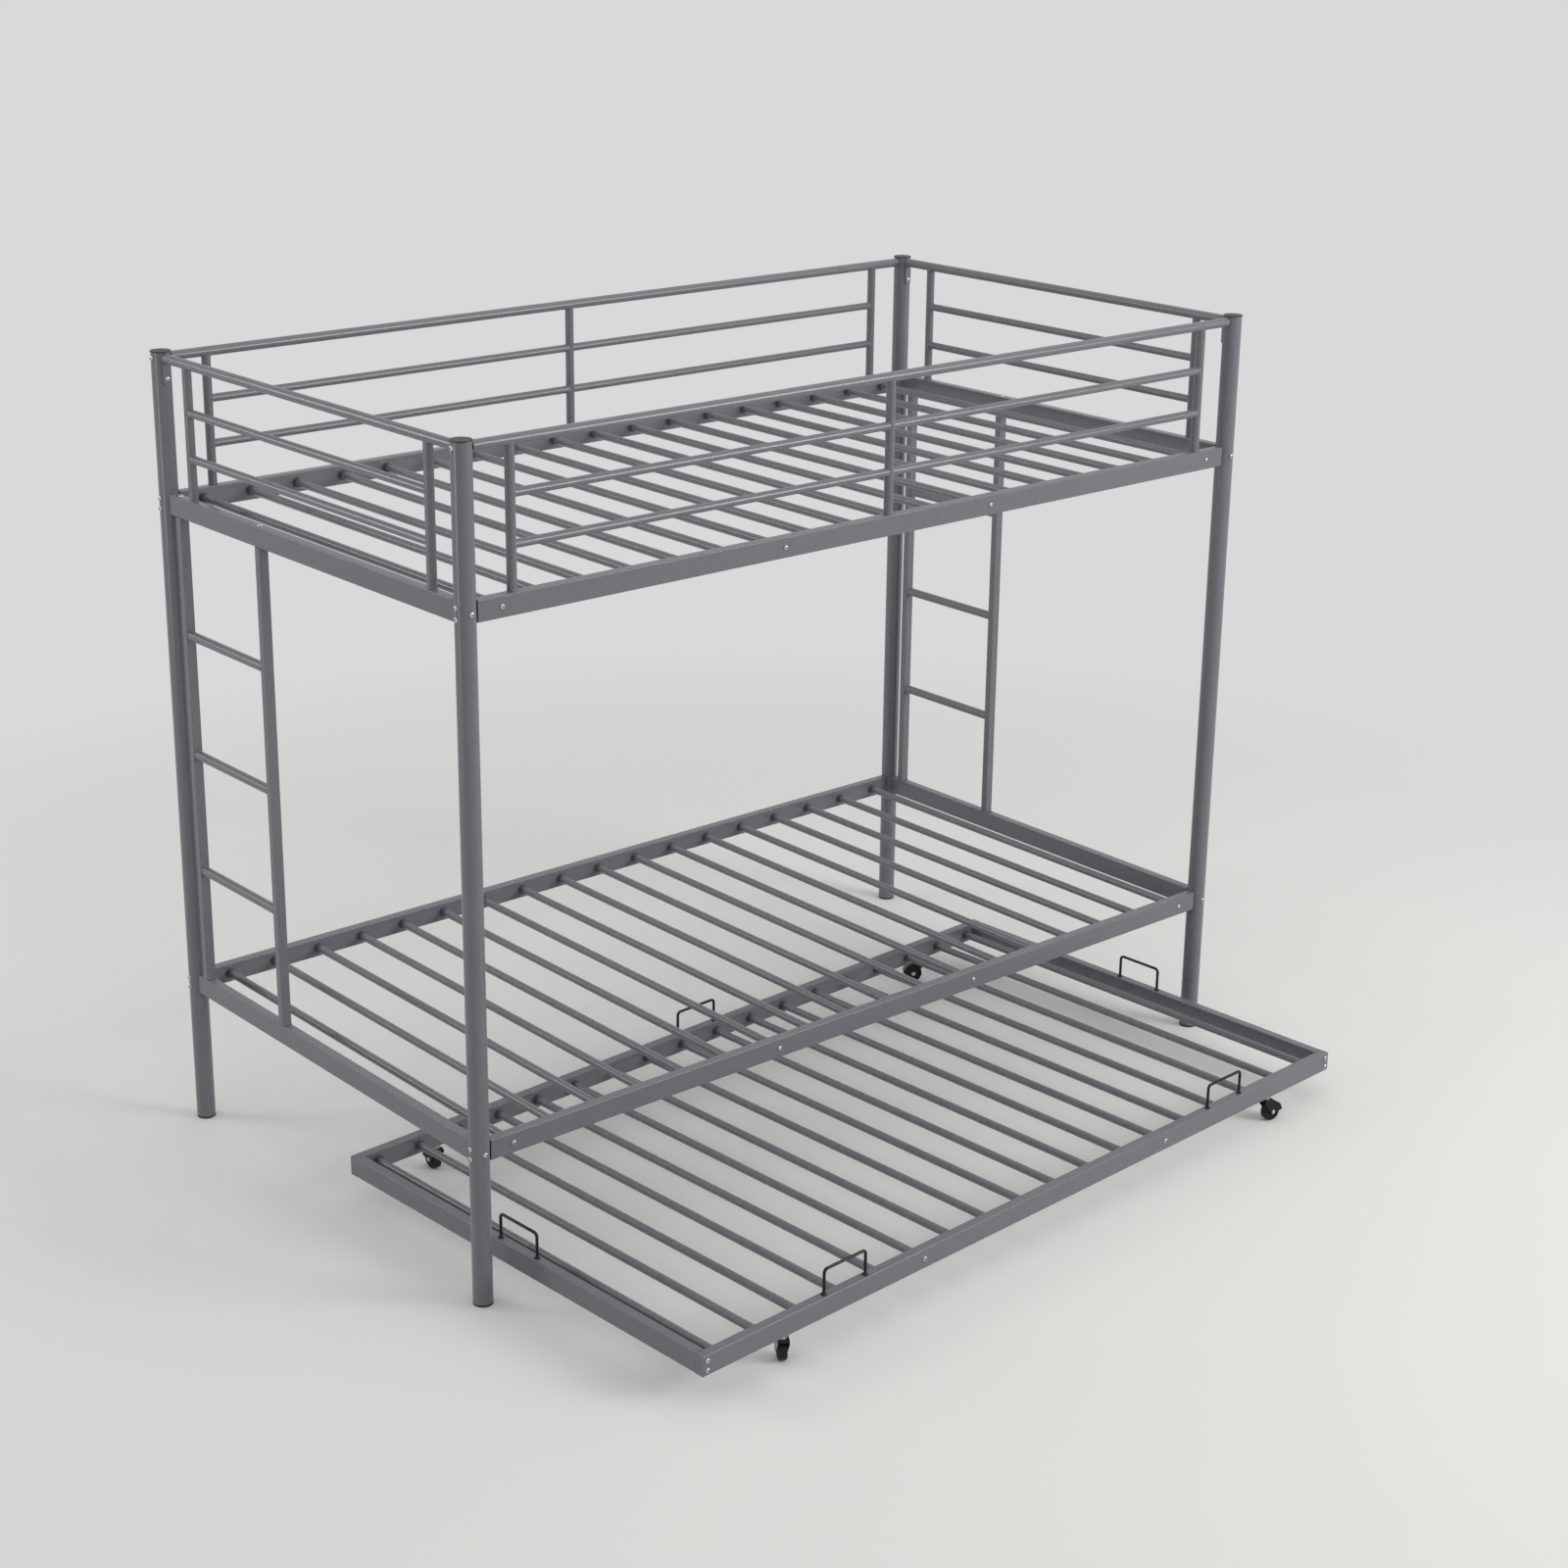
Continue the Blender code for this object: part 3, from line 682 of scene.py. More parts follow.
def weld(joint, way, run_way, tube_radius, run_radius=0):
    """A weld bead round the foot of a tube, on a round tube or on a flat face."""
    way, run_way = Vector(way), Vector(run_way)
    clear_selection()
    bpy.ops.mesh.primitive_torus_add(
        major_segments=weld_sides,
        minor_segments=weld_bead_sides,
        major_radius=tube_radius + weld_thickness / 4,
        minor_radius=weld_thickness,
        generate_uvs=False,
    )
    bead = bpy.context.object
    for vertex in bead.data.vertices:
        turn = math.atan2(vertex.co.y, vertex.co.x)
        ripple = 1 + weld_ripple_share * math.cos(turn * weld_ripples)
        out = vertex.co.xy.length - tube_radius
        vertex.co.xy = vertex.co.xy.normalized() * (tube_radius + out * ripple)
        vertex.co.z *= ripple
        if run_radius:
            vertex.co.z += math.sqrt(max(run_radius**2 - vertex.co.x**2, 0))
    frame_of_joint = Matrix((run_way.cross(way), run_way, way)).transposed().to_4x4()
    bead.matrix_world = Matrix.Translation(joint) @ frame_of_joint
    return bead


def guard_frame(name, half_length, uprights, height_of_rail, with_tabs):
    """A guard along X with its top tube over the origin's X axis."""
    top_height = height_of_rail + guard_height
    top_radius = guard_tube_diameter / 2
    upright_radius = guard_upright_diameter / 2
    bar_radius = guard_bar_diameter / 2
    along, up = Vector((1, 0, 0)), Vector((0, 0, 1))
    parts = [
        round_tube(
            name,
            guard_tube_diameter,
            guard_wall,
            guard_sides,
            (-half_length, 0, top_height),
            (half_length, 0, top_height),
        )
    ]
    for x in uprights:
        upright = round_tube(
            "upright",
            guard_upright_diameter,
            guard_wall,
            guard_sides,
            (x, 0, height_of_rail),
            (x, 0, top_height),
        )
        cope(upright, (x, 0, top_height), along, top_radius)
        parts.append(upright)
        parts.append(weld((x, 0, top_height), -up, along, upright_radius, top_radius))
        parts.append(weld((x, 0, height_of_rail), up, along, upright_radius))
    for rise in guard_bar_heights:
        z = height_of_rail + rise
        for left, right in zip(uprights, uprights[1:]):
            ends = ((left, 0, z), (right, 0, z))
            bar = round_tube("bar", guard_bar_diameter, guard_wall, guard_sides, *ends)
            for joint, way in zip(ends, (along, -along)):
                cope(bar, joint, up, upright_radius)
                parts.append(weld(joint, way, up, bar_radius, upright_radius))
            parts.append(bar)
    if with_tabs:
        for side in (-1, 1):
            parts.append(guard_tab(side * half_length, side, top_height))
    return join_pieces(name, parts)


def guard_tab(x, side, top_height):
    """A flat tab with a round lower end, welded under a top tube's end."""
    clear_selection()
    bpy.ops.mesh.primitive_cube_add(
        size=1,
        location=(
            x - side * tab_thickness * tab_set_in_share, 0, top_height - tab_drop / 2
        ),
        scale=(tab_thickness, tab_width, tab_drop),
    )
    tab = bpy.context.object
    bpy.ops.object.transform_apply(location=False, rotation=False, scale=True)
    pick_edges(tab, lambda middle, way: abs(way.x) > nearly_along and middle.z < 0)
    bpy.ops.mesh.bevel(
        offset=tab_width * tab_round_share, segments=tab_round_steps, affect="EDGES"
    )
    put_down(tab)
    return tab


guard_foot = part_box("upper_rear_rail")[1].z
side_reach = post_at["front_right"].x - guard_post_distance
end_reach = post_at["rear_left"].y - bed_middle_y - guard_post_distance
for side in ("front", "rear"):
    node = f"{side}_guard"
    low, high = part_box(node)
    guard = guard_frame(
        f"{node}_rail", high.x, (-side_reach, 0, side_reach), guard_foot, with_tabs=False
    )
    place = Matrix.Translation((0, (low.y + high.y) / 2, 0))
    settle(guard, coat, "bed_frame", "grey_powder_coat", node, place=place)
for side in ("left", "right"):
    node = f"{side}_end_guard"
    low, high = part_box(node)
    guard = guard_frame(
        f"{node}_rail", (high.y - low.y) / 2, (-end_reach, end_reach), guard_foot, with_tabs=True
    )
    place = Matrix.Translation((low + high) / 2 * Vector((1, 1, 0))) @ Matrix.Rotation(
        math.pi / 2, 4, "Z"
    )
    settle(guard, coat, "bed_frame", "grey_powder_coat", node, place=place)


# Ladders. One at each end, near the rear post: two upright rectangular tubes, 20 by
# 16 mm, bolted under the upper end rail and welded to the lower one, with three 19 mm
# round rungs welded between them.
stile_width = 0.016
stile_corner = 0.0015
stile_wall = 0.0012
rung_diameter = 0.019
rung_sides = 36
rung_pitch = 0.246
rung_count = 3
foot_bead_height = 0.0016
foot_bead_reach = 0.0010
foot_bead_round_share = 0.8
foot_bead_steps = 4


def foot_bead(low, high):
    """A low rounded bead of weld round the foot of a rectangular tube."""
    reach = Vector((foot_bead_reach, foot_bead_reach, 0))
    low, high = Vector(low) - reach, Vector(high) + reach
    clear_selection()
    bpy.ops.mesh.primitive_cube_add(size=1, location=(low + high) / 2, scale=high - low)
    bead = bpy.context.object
    bpy.ops.object.transform_apply(location=False, rotation=False, scale=True)
    pick_edges(bead, lambda middle, way: True)
    bpy.ops.mesh.bevel(
        offset=foot_bead_reach * foot_bead_round_share,
        segments=foot_bead_steps,
        affect="EDGES",
    )
    put_down(bead)
    return bead


for side in ("left", "right"):
    node = f"{side}_ladder"
    low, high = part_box(node)
    middle = (low + high) / 2
    parts = []
    stiles = ((low.y, low.y + stile_width), (high.y - stile_width, high.y))
    for near, far in stiles:
        parts.append(
            box_tube(
                node, (low.x, near, low.z), (high.x, far, high.z), "Z", stile_corner, stile_wall
            )
        )
        parts.append(
            foot_bead((low.x, near, low.z), (high.x, far, low.z + foot_bead_height))
        )
    inner_near, inner_far = stiles[0][1], stiles[1][0]
    for number in range(rung_count):
        z = middle.z + (number - (rung_count - 1) / 2) * rung_pitch
        start, end = (middle.x, inner_near, z), (middle.x, inner_far, z)
        parts.append(round_tube("rung", rung_diameter, guard_wall, rung_sides, start, end))
        for joint, way in ((start, (0, 1, 0)), (end, (0, -1, 0))):
            parts.append(weld(joint, way, (0, 0, 1), rung_diameter / 2))
    ladder = join_pieces(f"{node}_frame", parts)
    settle(ladder, coat, "bed_frame", "grey_powder_coat", node)


# Bolts of the bed. Bright zinc-plated button heads with a hexagon socket: two through
# each post into every side rail, one into every end rail, one into each guard's end, and
# more along the side rails where slats are bolted, and down into the ladders.
bolt_head_diameter = 0.0103
bolt_head_height = 0.0031
bolt_brim_height = 0.0005
bolt_flat_diameter = 0.0050
bolt_shank_diameter = 0.0058
bolt_shank_length = 0.004
socket_width = 0.0042
socket_depth = 0.0020
bolt_sides = 32
bolt_turn = math.radians(37)
bolt_pair_half_pitch = 0.010
end_guard_bolt_drop = 0.039
slat_bolt_columns = (0, 6, 11, 17)

zinc_colours = ((0.40, 0.41, 0.42), (0.62, 0.63, 0.64), (0.74, 0.74, 0.73))
zinc_clouds = (0.004, 0, 1)
zinc_wear = (0.002, 0, 0.8)
zinc_edge_width = 0.0005
zinc_roughness = (0.002, 0.20, 0.34)
zinc_grain = (0.0006, 0.00002)


def cut_away(piece, cutter):
    """Cut a piece with another, which is then thrown away."""
    take_up(piece)
    cut = piece.modifiers.new("cut", "BOOLEAN")
    cut.operation = "DIFFERENCE"
    cut.object = cutter
    bpy.ops.object.modifier_apply(modifier=cut.name)
    bpy.data.objects.remove(cutter)


def button_head_bolt():
    """One bolt, its head seated on the ground and its shank below."""
    head, flat = bolt_head_diameter / 2, bolt_flat_diameter / 2
    shank = bolt_shank_diameter / 2
    section = [(0, -bolt_shank_length), (shank, -bolt_shank_length), (shank, 0), (head, 0)]
    rise = bolt_head_height - bolt_brim_height
    for step in range(dome_steps + 1):
        angle = math.pi / 2 * step / dome_steps
        out, up = (head - flat) * math.cos(angle), rise * math.sin(angle)
        section.append((flat + out, bolt_brim_height + up))
    section.append((0, bolt_head_height))
    bolt = turned("bolt", section, bolt_sides)
    clear_selection()
    bpy.ops.mesh.primitive_cylinder_add(
        vertices=6,
        radius=socket_width / math.sqrt(3),
        depth=socket_depth * 2,
        location=(0, 0, bolt_head_height),
    )
    cut_away(bolt, bpy.context.object)
    return bolt


def drive_bolts(name, seats, body, place=None):
    """Copies of the bolt on their seats, each a point and the way its head faces."""
    driven = []
    for number, (seat, way) in enumerate(seats):
        facing = Vector(way).to_track_quat("Z", "Y").to_matrix().to_4x4()
        spun = Matrix.Rotation(bolt_turn * number, 4, "Z")
        driven.append(copy_to(bolt, Matrix.Translation(seat) @ facing @ spun))
    joined = join_pieces(name, driven)
    settle(joined, zinc, body, "bright_zinc", place=place)


zinc = surface_finish(
    "bright_zinc_finish",
    zinc_colours,
    zinc_clouds,
    zinc_wear,
    zinc_edge_width,
    zinc_roughness,
    zinc_grain,
    metal=1,
)
bolt = button_head_bolt()
guard_top = guard_foot + guard_height
for corner in corners:
    x, y = post_at[corner].xy
    out_x, out_y = math.copysign(1, x), math.copysign(1, y - bed_middle_y)
    tab_face = y - out_y * (post_radius + tab_post_gap + tab_thickness)
    seats = [
        ((x + out_x * post_radius, y, guard_top), (out_x, 0, 0)),
        ((x, tab_face, guard_top - end_guard_bolt_drop), (0, -out_y, 0)),
    ]
    for level in ("upper", "lower"):
        low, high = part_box(f"{level}_rear_rail")
        z = (low.z + high.z) / 2
        for rise in (-bolt_pair_half_pitch, bolt_pair_half_pitch):
            seats.append(((x + out_x * post_radius, y, z + rise), (out_x, 0, 0)))
        seats.append(((x, y + out_y * post_radius, z), (0, out_y, 0)))
    drive_bolts(f"{corner}_post_bolts", seats, "bed_frame")

slat_columns = spread_slats(slat_count, slat_reach)
for level in ("upper", "lower"):
    front_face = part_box(f"{level}_front_rail_and_slats")[0].y
    low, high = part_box(f"{level}_rear_rail")
    z = (low.z + high.z) / 2
    for side, y, out in (("front", front_face, -1), ("rear", high.y, 1)):
        seats = [((slat_columns[number], y, z), (0, out, 0)) for number in slat_bolt_columns]
        drive_bolts(f"{level}_{side}_slat_bolts", seats, "bed_frame")
for side in ("left", "right"):
    low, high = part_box(f"{side}_ladder")
    rail_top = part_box(f"upper_{side}_end_rail")[1].z
    x = (low.x + high.x) / 2
    near, far = low.y + stile_width / 2, high.y - stile_width / 2
    seats = [((x, y, rail_top), (0, 0, 1)) for y in (near, far)]
    drive_bolts(f"{side}_ladder_bolts", seats, "bed_frame")


# Trundle frame. The same 40 by 20 mm tube: two long rails with closed ends, and two end
# rails bolted between them. Eighteen slats with collars run from front to rear. The
# frame stands a little askew, as it was rolled out.
trundle_length = 1.810
trundle_width = 1.018
trundle_slat_end_distance = 0.050
trundle_seam = 0.0003
trundle_bolt_columns = (5, 12)
trundle_bolt_half_pitch = 0.0095

turn_at = {
    joint["name"]: Vector(joint["pos_m"]) for joint in frame["joints"] if joint.get("pos_m")
}
caster_at = {corner: turn_at[f"{corner}_caster_turn"] for corner in corners}
trundle_middle = sum(caster_at.values(), Vector()) / len(corners)
trundle_side = caster_at["front_right"] - caster_at["front_left"]
trundle_place = Matrix.Translation(
    (trundle_middle.x, trundle_middle.y, 0)
) @ Matrix.Rotation(math.atan2(trundle_side.y, trundle_side.x), 4, "Z")

rail_low, rail_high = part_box("trundle_rear_rail")
trundle_bottom, trundle_top = rail_low.z, rail_high.z
half_long, half_wide = trundle_length / 2, trundle_width / 2
for side, near, far in (
    ("front", -half_wide, rail_thickness - half_wide),
    ("rear", half_wide - rail_thickness, half_wide),
):
    node = "trundle_front_rail_and_slats" if side == "front" else "trundle_rear_rail"
    rail = box_tube(
        f"trundle_{side}_long_rail",
        (-half_long, near, trundle_bottom),
        (half_long, far, trundle_top),
        "X",
        rail_corner,
        0,
    )
    settle(rail, coat, "trundle", "grey_powder_coat", node, place=trundle_place)
inner_wide = half_wide - rail_thickness
for side, near, far in (
    ("left", -half_long, rail_thickness - half_long),
    ("right", half_long - rail_thickness, half_long),
):
    rail = box_tube(
        f"trundle_{side}_short_rail",
        (near, trundle_seam - inner_wide, trundle_bottom),
        (far, inner_wide - trundle_seam, trundle_top),
        "Y",
        rail_corner,
        rail_wall,
    )
    settle(
        rail, coat, "trundle", "grey_powder_coat", f"trundle_{side}_end_rail", place=trundle_place
    )
trundle_slats = spread_slats(slat_count, half_long - trundle_slat_end_distance)
trundle_height = (trundle_bottom + trundle_top) / 2
lay_slats(
    "trundle", trundle_slats, -inner_wide, inner_wide, trundle_height, "trundle", trundle_place
)

corner_bolt_x = half_long - rail_thickness / 2
for side, out in (("front", -1), ("rear", 1)):
    seats = []
    for x in (-corner_bolt_x, corner_bolt_x):
        for rise in (-trundle_bolt_half_pitch, trundle_bolt_half_pitch):
            seats.append(((x, out * half_wide, trundle_height + rise), (0, out, 0)))
    for number in trundle_bolt_columns:
        seats.append(((trundle_slats[number], out * half_wide, trundle_height), (0, out, 0)))
    drive_bolts(f"trundle_{side}_bolts", seats, "trundle", trundle_place)


# Wire bails. Five low hoops of 6 mm black coated wire that keep the mattress in place,
# one on each end rail, two on the front rail and one at the rear. Each stands on two
# flanged feet, and a zinc nut holds each foot from below the rail.
wire_diameter = 0.006
wire_sides = 16
bail_half_width = 0.0525
bail_height = 0.053
bail_corner = 0.008
bail_corner_steps = 8
foot_flange_diameter = 0.0118
foot_flange_thickness = 0.0012
foot_flange_edge = 0.0006
foot_edge_share = 0.6
foot_slope_share = 0.72
foot_slope_height = 0.0019
foot_cone_height = 0.0042
foot_neck_share = 1.35
foot_neck_height_share = 0.75
foot_mouth_share = 1.04
foot_sides = 32
small_nut_width = 0.0080
small_nut_height = 0.0032
small_nut_bore = 0.004
nut_corner_share = 0.48
nut_chamfer_share = 0.12
nut_chamfer_steps = 2
front_bail_distance = 0.552

wire_colours = ((0.006, 0.006, 0.0065), (0.013, 0.013, 0.0135), (0.06, 0.06, 0.06))
wire_clouds = (0.010, 0, 1)
wire_wear = (0.004, 0, 0.5)
wire_edge_width = 0.0006
wire_roughness = (0.006, 0.16, 0.28)
wire_grain = (0.0016, 0.00004)
wire_gloss = 0.25


def bail_wire():
    """The bent wire: up, round a corner, along, round the other corner and down."""
    radius = wire_diameter / 2
    rise = bail_height - radius - bail_corner
    half_along = bail_half_width - bail_corner
    clear_selection()
    bpy.ops.mesh.primitive_circle_add(
        vertices=wire_sides, radius=radius, fill_type="NGON", location=(-bail_half_width, 0, 0)
    )
    wire = bpy.context.object
    bpy.ops.object.transform_apply(location=True, rotation=False, scale=False)
    pick_faces(wire, lambda middle, normal: True)
    for run, bend_x in (((0, 0, rise), -half_along), ((2 * half_along, 0, 0), half_along)):
        bpy.ops.mesh.extrude_region_move(TRANSFORM_OT_translate={"value": run})
        bpy.ops.mesh.spin(
            steps=bail_corner_steps,
            angle=-math.pi / 2,
            center=(bend_x, 0, rise),
            axis=(0, 1, 0),
        )
    bpy.ops.mesh.extrude_region_move(TRANSFORM_OT_translate={"value": (0, 0, -rise)})
    bpy.ops.mesh.select_all(action="SELECT")
    bpy.ops.mesh.remove_doubles(threshold=merge_distance)
    put_down(wire)
    return wire


def bail_foot():
    """A flange with a cone up to the wire, its underside on the ground."""
    flange, wire = foot_flange_diameter / 2, wire_diameter / 2
    section = [(0, 0), (flange, 0), (flange, foot_flange_thickness * foot_edge_share)]
    section += [(flange - foot_flange_edge, foot_flange_thickness)]
    section += [(flange * foot_slope_share, foot_slope_height)]
    section += [(wire * foot_neck_share, foot_cone_height * foot_neck_height_share)]
    section += [(wire * foot_mouth_share, foot_cone_height), (0, foot_cone_height)]
    return turned("bail_foot", section, foot_sides)


def hexagon_nut(name, width, height, bore):
    """A hexagon nut with chamfered corners and a bore, on the ground."""
    clear_selection()
    bpy.ops.mesh.primitive_cylinder_add(
        vertices=6, radius=width / math.sqrt(3), depth=height, location=(0, 0, height / 2)
    )
    nut = bpy.context.object
    nut.name = name
    pick_faces(nut, lambda middle, normal: abs(normal.z) > nearly_along)
    bpy.ops.mesh.inset(thickness=(width - bore) / 2, use_individual=True)
    bpy.ops.mesh.bridge_edge_loops()
    bpy.ops.object.mode_set(mode="OBJECT")
    rim = width * nut_corner_share
    pick_edges(nut, lambda middle, way: abs(way.z) < mostly_across and middle.xy.length > rim)
    bpy.ops.mesh.bevel(
        offset=height * nut_chamfer_share, segments=nut_chamfer_steps, affect="EDGES"
    )
    put_down(nut)
    return nut


wire_paint = surface_finish(
    "black_wire_finish",
    wire_colours,
    wire_clouds,
    wire_wear,
    wire_edge_width,
    wire_roughness,
    wire_grain,
    gloss=wire_gloss,
)
bail_pattern = bail_wire()
foot_pattern = bail_foot()
nut_pattern = hexagon_nut("small_nut", small_nut_width, small_nut_height, small_nut_bore)
end_x, side_y = half_long - rail_thickness / 2, half_wide - rail_thickness / 2
bail_nuts = []
for name, x, y, turn in (
    ("left", -end_x, 0, math.pi / 2),
    ("right", end_x, 0, math.pi / 2),
    ("front_left", -front_bail_distance, -side_y, 0),
    ("front_right", front_bail_distance, -side_y, 0),
    ("rear", 0, side_y, 0),
):
    stand = Matrix.Translation((x, y, trundle_top)) @ Matrix.Rotation(turn, 4, "Z")
    parts = [copy_to(bail_pattern, stand)]
    for step in (-bail_half_width, bail_half_width):
        foot_place = stand @ Matrix.Translation((step, 0, 0))
        parts.append(copy_to(foot_pattern, foot_place))
        nut_place = foot_place @ Matrix.Translation(
            (0, 0, trundle_bottom - trundle_top - small_nut_height)
        )
        bail_nuts.append(copy_to(nut_pattern, nut_place))
    bail = join_pieces(f"trundle_{name}_wire_bail", parts)
    settle(
        bail, wire_paint, "trundle", "black_wire", f"trundle_{name}_bail", place=trundle_place
    )
nuts = join_pieces("trundle_bail_nuts", bail_nuts)
settle(nuts, zinc, "trundle", "bright_zinc", place=trundle_place)
for pattern in (bail_pattern, foot_pattern, nut_pattern):
    bpy.data.objects.remove(pattern)


# Casters. Four small swivel casters under the long rails. A zinc stem is screwed up into
# the rail and locked with a hexagon nut. A glossy black fork with a hood over the wheel
# turns on it, and a black 40 mm wheel runs on an axle with bright heads.
wheel_diameter = 0.040
wheel_width = 0.016
wheel_bore = 0.0064
hub_diameter = 0.017
hub_face_drop = 0.0002
hub_edge = 0.0006
rim_depth = 0.0045
rim_edge_drop = 0.0005
rim_edge_in = 0.0002
rim_edge_out = 0.0004
web_recess = 0.0025
web_draft = 0.0008
tread_round = 0.0026
trail = 0.012
crown_bottom = 0.0438
crown_top = 0.0478
crown_reach = 0.012
nose_drop = 0.007
nose_chamfer = 0.003
cheek_gap = 0.0008
cheek_thickness = 0.0022
hood_gap = 0.0015
hood_wall = 0.0023
boss_diameter = 0.012
fork_edge = 0.0006
fork_edge_steps = 2
pocket_overrun = 0.05
# Arcs of the fork's outline: first and last angle in degrees, and steps
hood_arc = (72, 4, 16)
boss_arc = (-22, -158, 12)
pocket_arc = (0, 90, 20)
axle_pin_diameter = 0.006
axle_head_diameter = 0.009
axle_head_height = 0.0014
axle_rim_share = 0.4
axle_slope_share = 0.75
axle_head_edge = 0.0005
axle_crown_edge = 0.0018
axle_sides = 40
stem_diameter = 0.008
stem_head_diameter = 0.011
stem_head_height = 0.003
stem_head_edge = 0.0006
stem_sides = 32
stem_rise = 0.0097
caster_nut_width = 0.013
caster_nut_height = 0.0076
caster_seam = 0.0003

shell_colours = ((0.005, 0.005, 0.0055), (0.011, 0.011, 0.0115), (0.07, 0.07, 0.07))
shell_clouds = (0.008, 0, 1)
shell_wear = (0.003, 0, 0.6)
shell_edge_width = 0.0007
shell_roughness = (0.005, 0.12, 0.24)
shell_grain = (0.0012, 0.00003)
shell_gloss = 0.25
floor_dust_colour = (0.026, 0.025, 0.023)
tread_colours = ((0.007, 0.007, 0.007), floor_dust_colour, floor_dust_colour)
tread_clouds = (0.006, 0, 0.6, 4.0)
tread_wear = (0.003, 0, 0.7)
tread_edge_width = 0.0008
tread_roughness = (0.004, 0.30, 0.48)
tread_grain = (0.0008, 0.00005)
tread_gloss = 0.22


def arc(middle_x, middle_z, radius, start, end, steps):
    """Points along an arc, from one angle in degrees to another."""
    points = []
    for step in range(steps + 1):
        angle = math.radians(start + (end - start) * step / steps)
        points.append((middle_x + radius * math.cos(angle), middle_z + radius * math.sin(angle)))
    return points


def slab(name, outline, half_thickness):
    """A flat piece cut to an outline of (x, z) points, standing across Y."""
    clear_selection()
    bpy.ops.mesh.primitive_circle_add(vertices=len(outline), radius=1, fill_type="NGON")
    piece = bpy.context.object
    piece.name = name
    for vertex, (x, z) in zip(piece.data.vertices, outline):
        vertex.co = (x, -half_thickness, z)
    pick_faces(piece, lambda middle, normal: True)
    bpy.ops.mesh.extrude_region_move(
        TRANSFORM_OT_translate={"value": (0, 2 * half_thickness, 0)}
    )
    put_down(piece)
    return piece


def caster_fork():
    """The fork on its swivel axis, its wheel towards +X."""
    wheel_radius = wheel_diameter / 2
    inner_half = wheel_width / 2 + cheek_gap
    outer_half = inner_half + cheek_thickness
    hood_inside = wheel_radius + hood_gap
    outline = [(nose_chamfer - crown_reach, crown_top), (trail, crown_top)]
    outline += arc(trail, wheel_radius, hood_inside + hood_wall, *hood_arc)
    outline += arc(trail, wheel_radius, boss_diameter / 2, *boss_arc)
    outline += [(-crown_reach, crown_top - drop) for drop in (nose_drop, nose_chamfer)]
    fork = slab("caster_fork", outline, outer_half)
    beyond = pocket_overrun
    inside = [(-beyond, -beyond), (beyond, -beyond), (beyond, wheel_radius)]
    inside += arc(trail, wheel_radius, hood_inside, *pocket_arc)
    inside += [(trail, crown_bottom), (-beyond, crown_bottom)]
    cut_away(fork, slab("pocket", inside, inner_half))
    soften = fork.modifiers.new("soften", "BEVEL")
    soften.width = fork_edge
    soften.segments = fork_edge_steps
    soften.limit_method = "ANGLE"
    soften.angle_limit = crease_angle
    bpy.ops.object.modifier_apply(modifier=soften.name)
    return fork


def caster_wheel():
    """The wheel on its side: hub, recessed web, rim and rounded tread, turned round Z."""
    bore, hub = wheel_bore / 2, hub_diameter / 2
    radius, half = wheel_diameter / 2, wheel_width / 2
    rim = radius - rim_depth
    web = half - web_recess
    hub_face = half - hub_face_drop
    near = [(bore, hub_face), (hub - hub_edge, hub_face), (hub, hub_face - hub_edge)]
    near += [(hub + web_draft, web), (rim - web_draft, web)]
    near += [(rim - rim_edge_in, half - rim_edge_drop), (rim + rim_edge_out, half)]
    near += rounded_corner(radius - tread_round, half - tread_round, tread_round, 90, 0)
    return turned("caster_wheel", near + [(r, -z) for r, z in reversed(near)])


def caster_axle():
    """The axle turned round Z: a pin with a low domed head at each end."""
    pin, head = axle_pin_diameter / 2, axle_head_diameter / 2
    seat = wheel_width / 2 + cheek_gap + cheek_thickness + caster_seam
    top = seat + axle_head_height
    near = [(pin, seat), (head, seat), (head, seat + axle_head_height * axle_rim_share)]
    near += [(head - axle_head_edge, seat + axle_head_height * axle_slope_share)]
    near += [(head - axle_crown_edge, top), (0, top)]
    return turned("caster_axle", [(r, -z) for r, z in reversed(near)] + near, axle_sides)


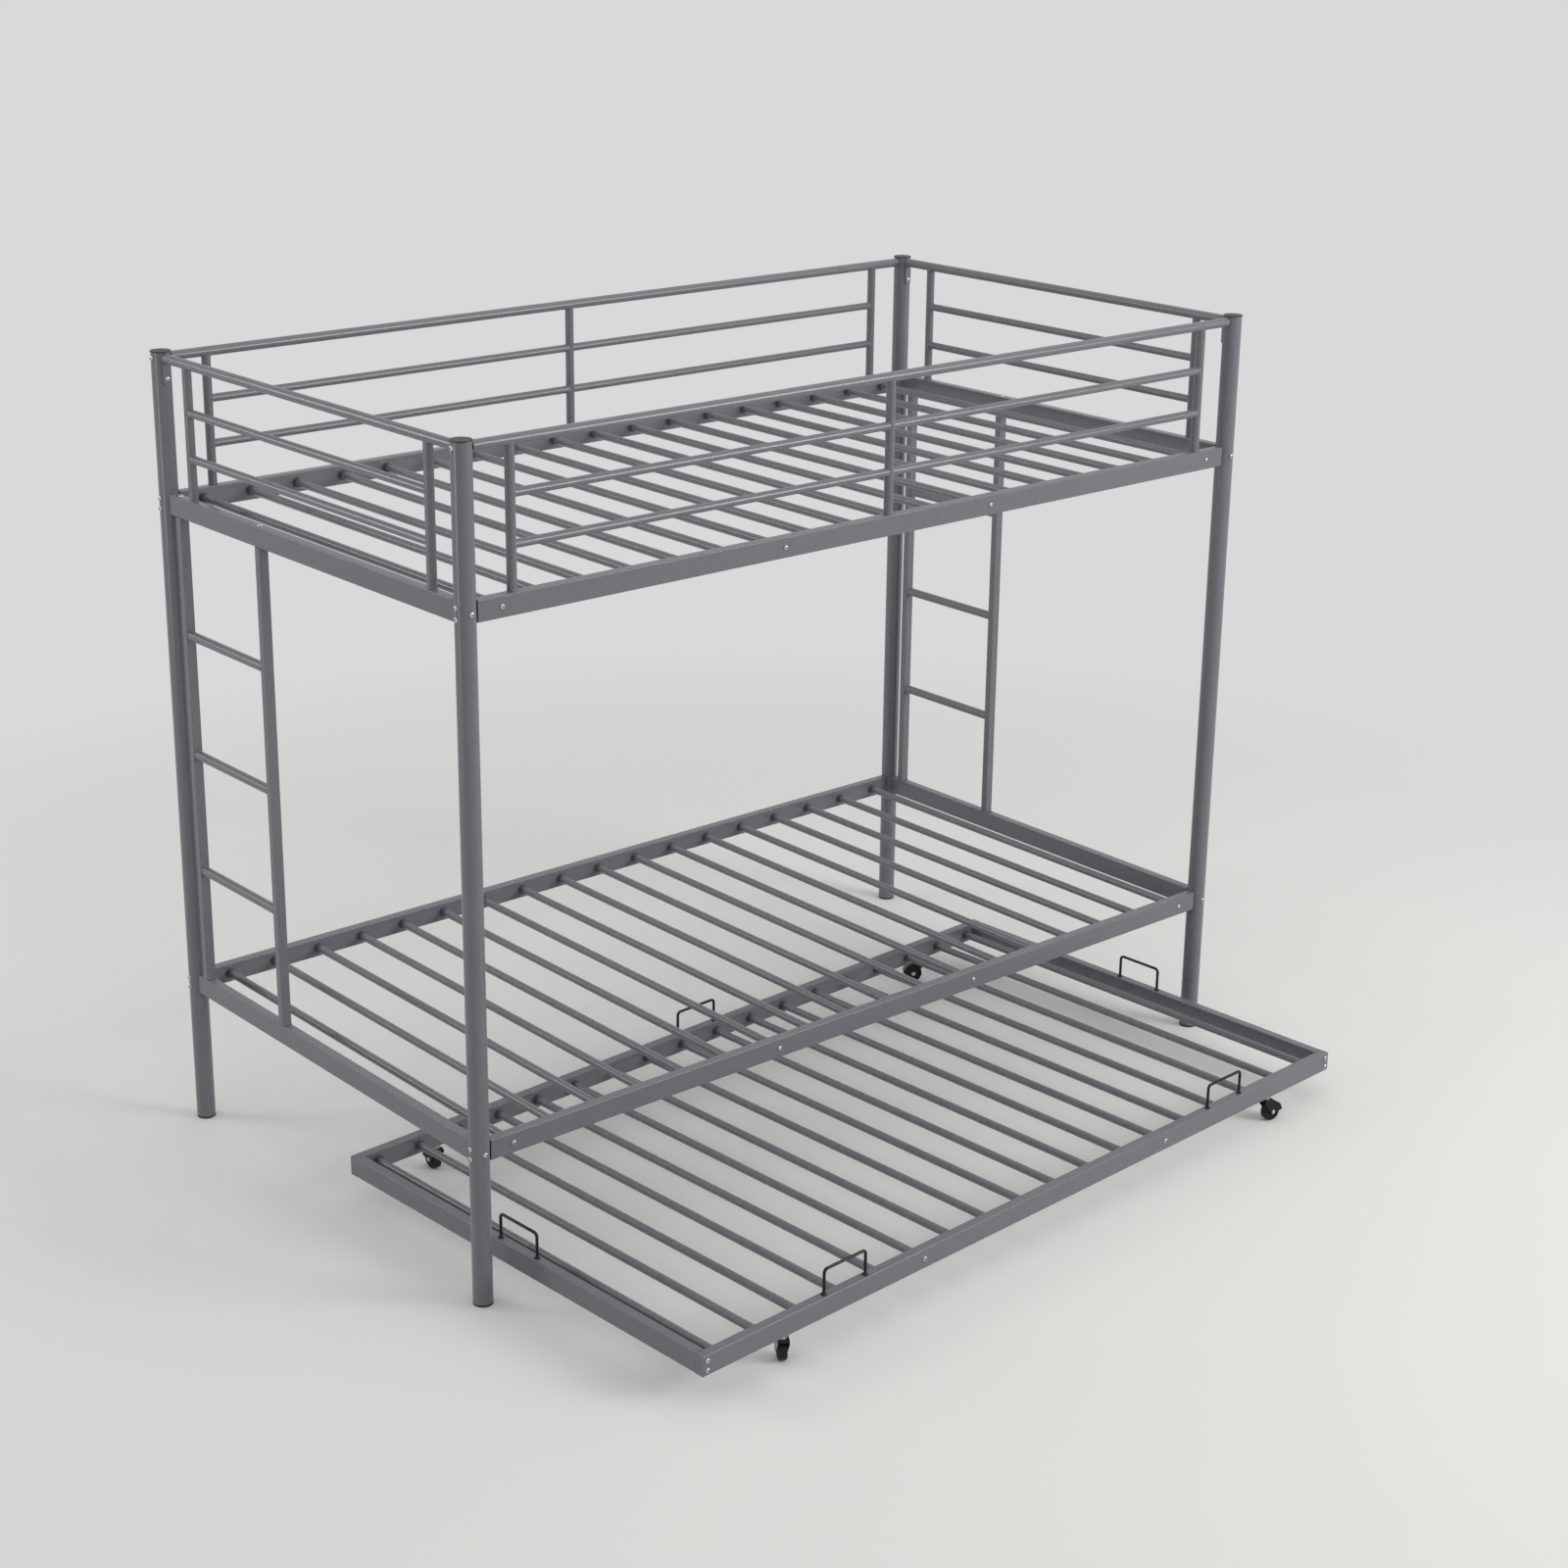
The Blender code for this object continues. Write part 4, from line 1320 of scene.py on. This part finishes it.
def caster_stem():
    """The stem with its washer head under the crown, and its nut above the crown."""
    shank, head = stem_diameter / 2, stem_head_diameter / 2
    head_top = crown_bottom - caster_seam
    head_bottom, stem_top = head_top - stem_head_height, trundle_bottom + stem_rise
    section = [(0, head_bottom), (head - stem_head_edge, head_bottom)]
    section += [(head, head_bottom + stem_head_edge), (head, head_top)]
    section += [(shank, head_top), (shank, stem_top), (0, stem_top)]
    stem = turned("caster_stem", section, stem_sides)
    nut = hexagon_nut("caster_nut", caster_nut_width, caster_nut_height, stem_diameter)
    nut.matrix_world = Matrix.Translation((0, 0, crown_top + caster_seam))
    return join_pieces("caster_stem", [stem, nut])


shell = surface_finish(
    "black_caster_shell_finish",
    shell_colours,
    shell_clouds,
    shell_wear,
    shell_edge_width,
    shell_roughness,
    shell_grain,
    gloss=shell_gloss,
)
rubber = surface_finish(
    "black_tread_finish",
    tread_colours,
    tread_clouds,
    tread_wear,
    tread_edge_width,
    tread_roughness,
    tread_grain,
    gloss=tread_gloss,
)
patterns = {
    "caster_stem": (caster_stem(), zinc, "bright_zinc", "trundle"),
    "caster_fork": (caster_fork(), shell, "black_caster_shell", "{}_caster_swivel"),
    "caster_axle": (caster_axle(), zinc, "bright_zinc", "{}_caster_swivel"),
    "caster_wheel": (caster_wheel(), rubber, "black_tread", "{}_caster_roller"),
}
for corner in corners:
    hub = turn_at[f"{corner}_wheel_spin"]
    way = hub - caster_at[corner]
    swivel = Matrix.Translation((*caster_at[corner].xy, 0)) @ Matrix.Rotation(
        math.atan2(way.y, way.x), 4, "Z"
    )
    on_axle = (
        swivel
        @ Matrix.Translation((trail, 0, wheel_diameter / 2))
        @ Matrix.Rotation(math.pi / 2, 4, "X")
    )
    for part, (pattern, finish, slot, body) in patterns.items():
        place = on_axle if part in ("caster_axle", "caster_wheel") else swivel
        made = copy_to(pattern, place)
        made.name = f"{corner}_{part}_made"
        settle(made, finish, body.format(corner), slot, f"{corner}_{part}")
for pattern, *_ in patterns.values():
    bpy.data.objects.remove(pattern)
bpy.data.objects.remove(bolt)
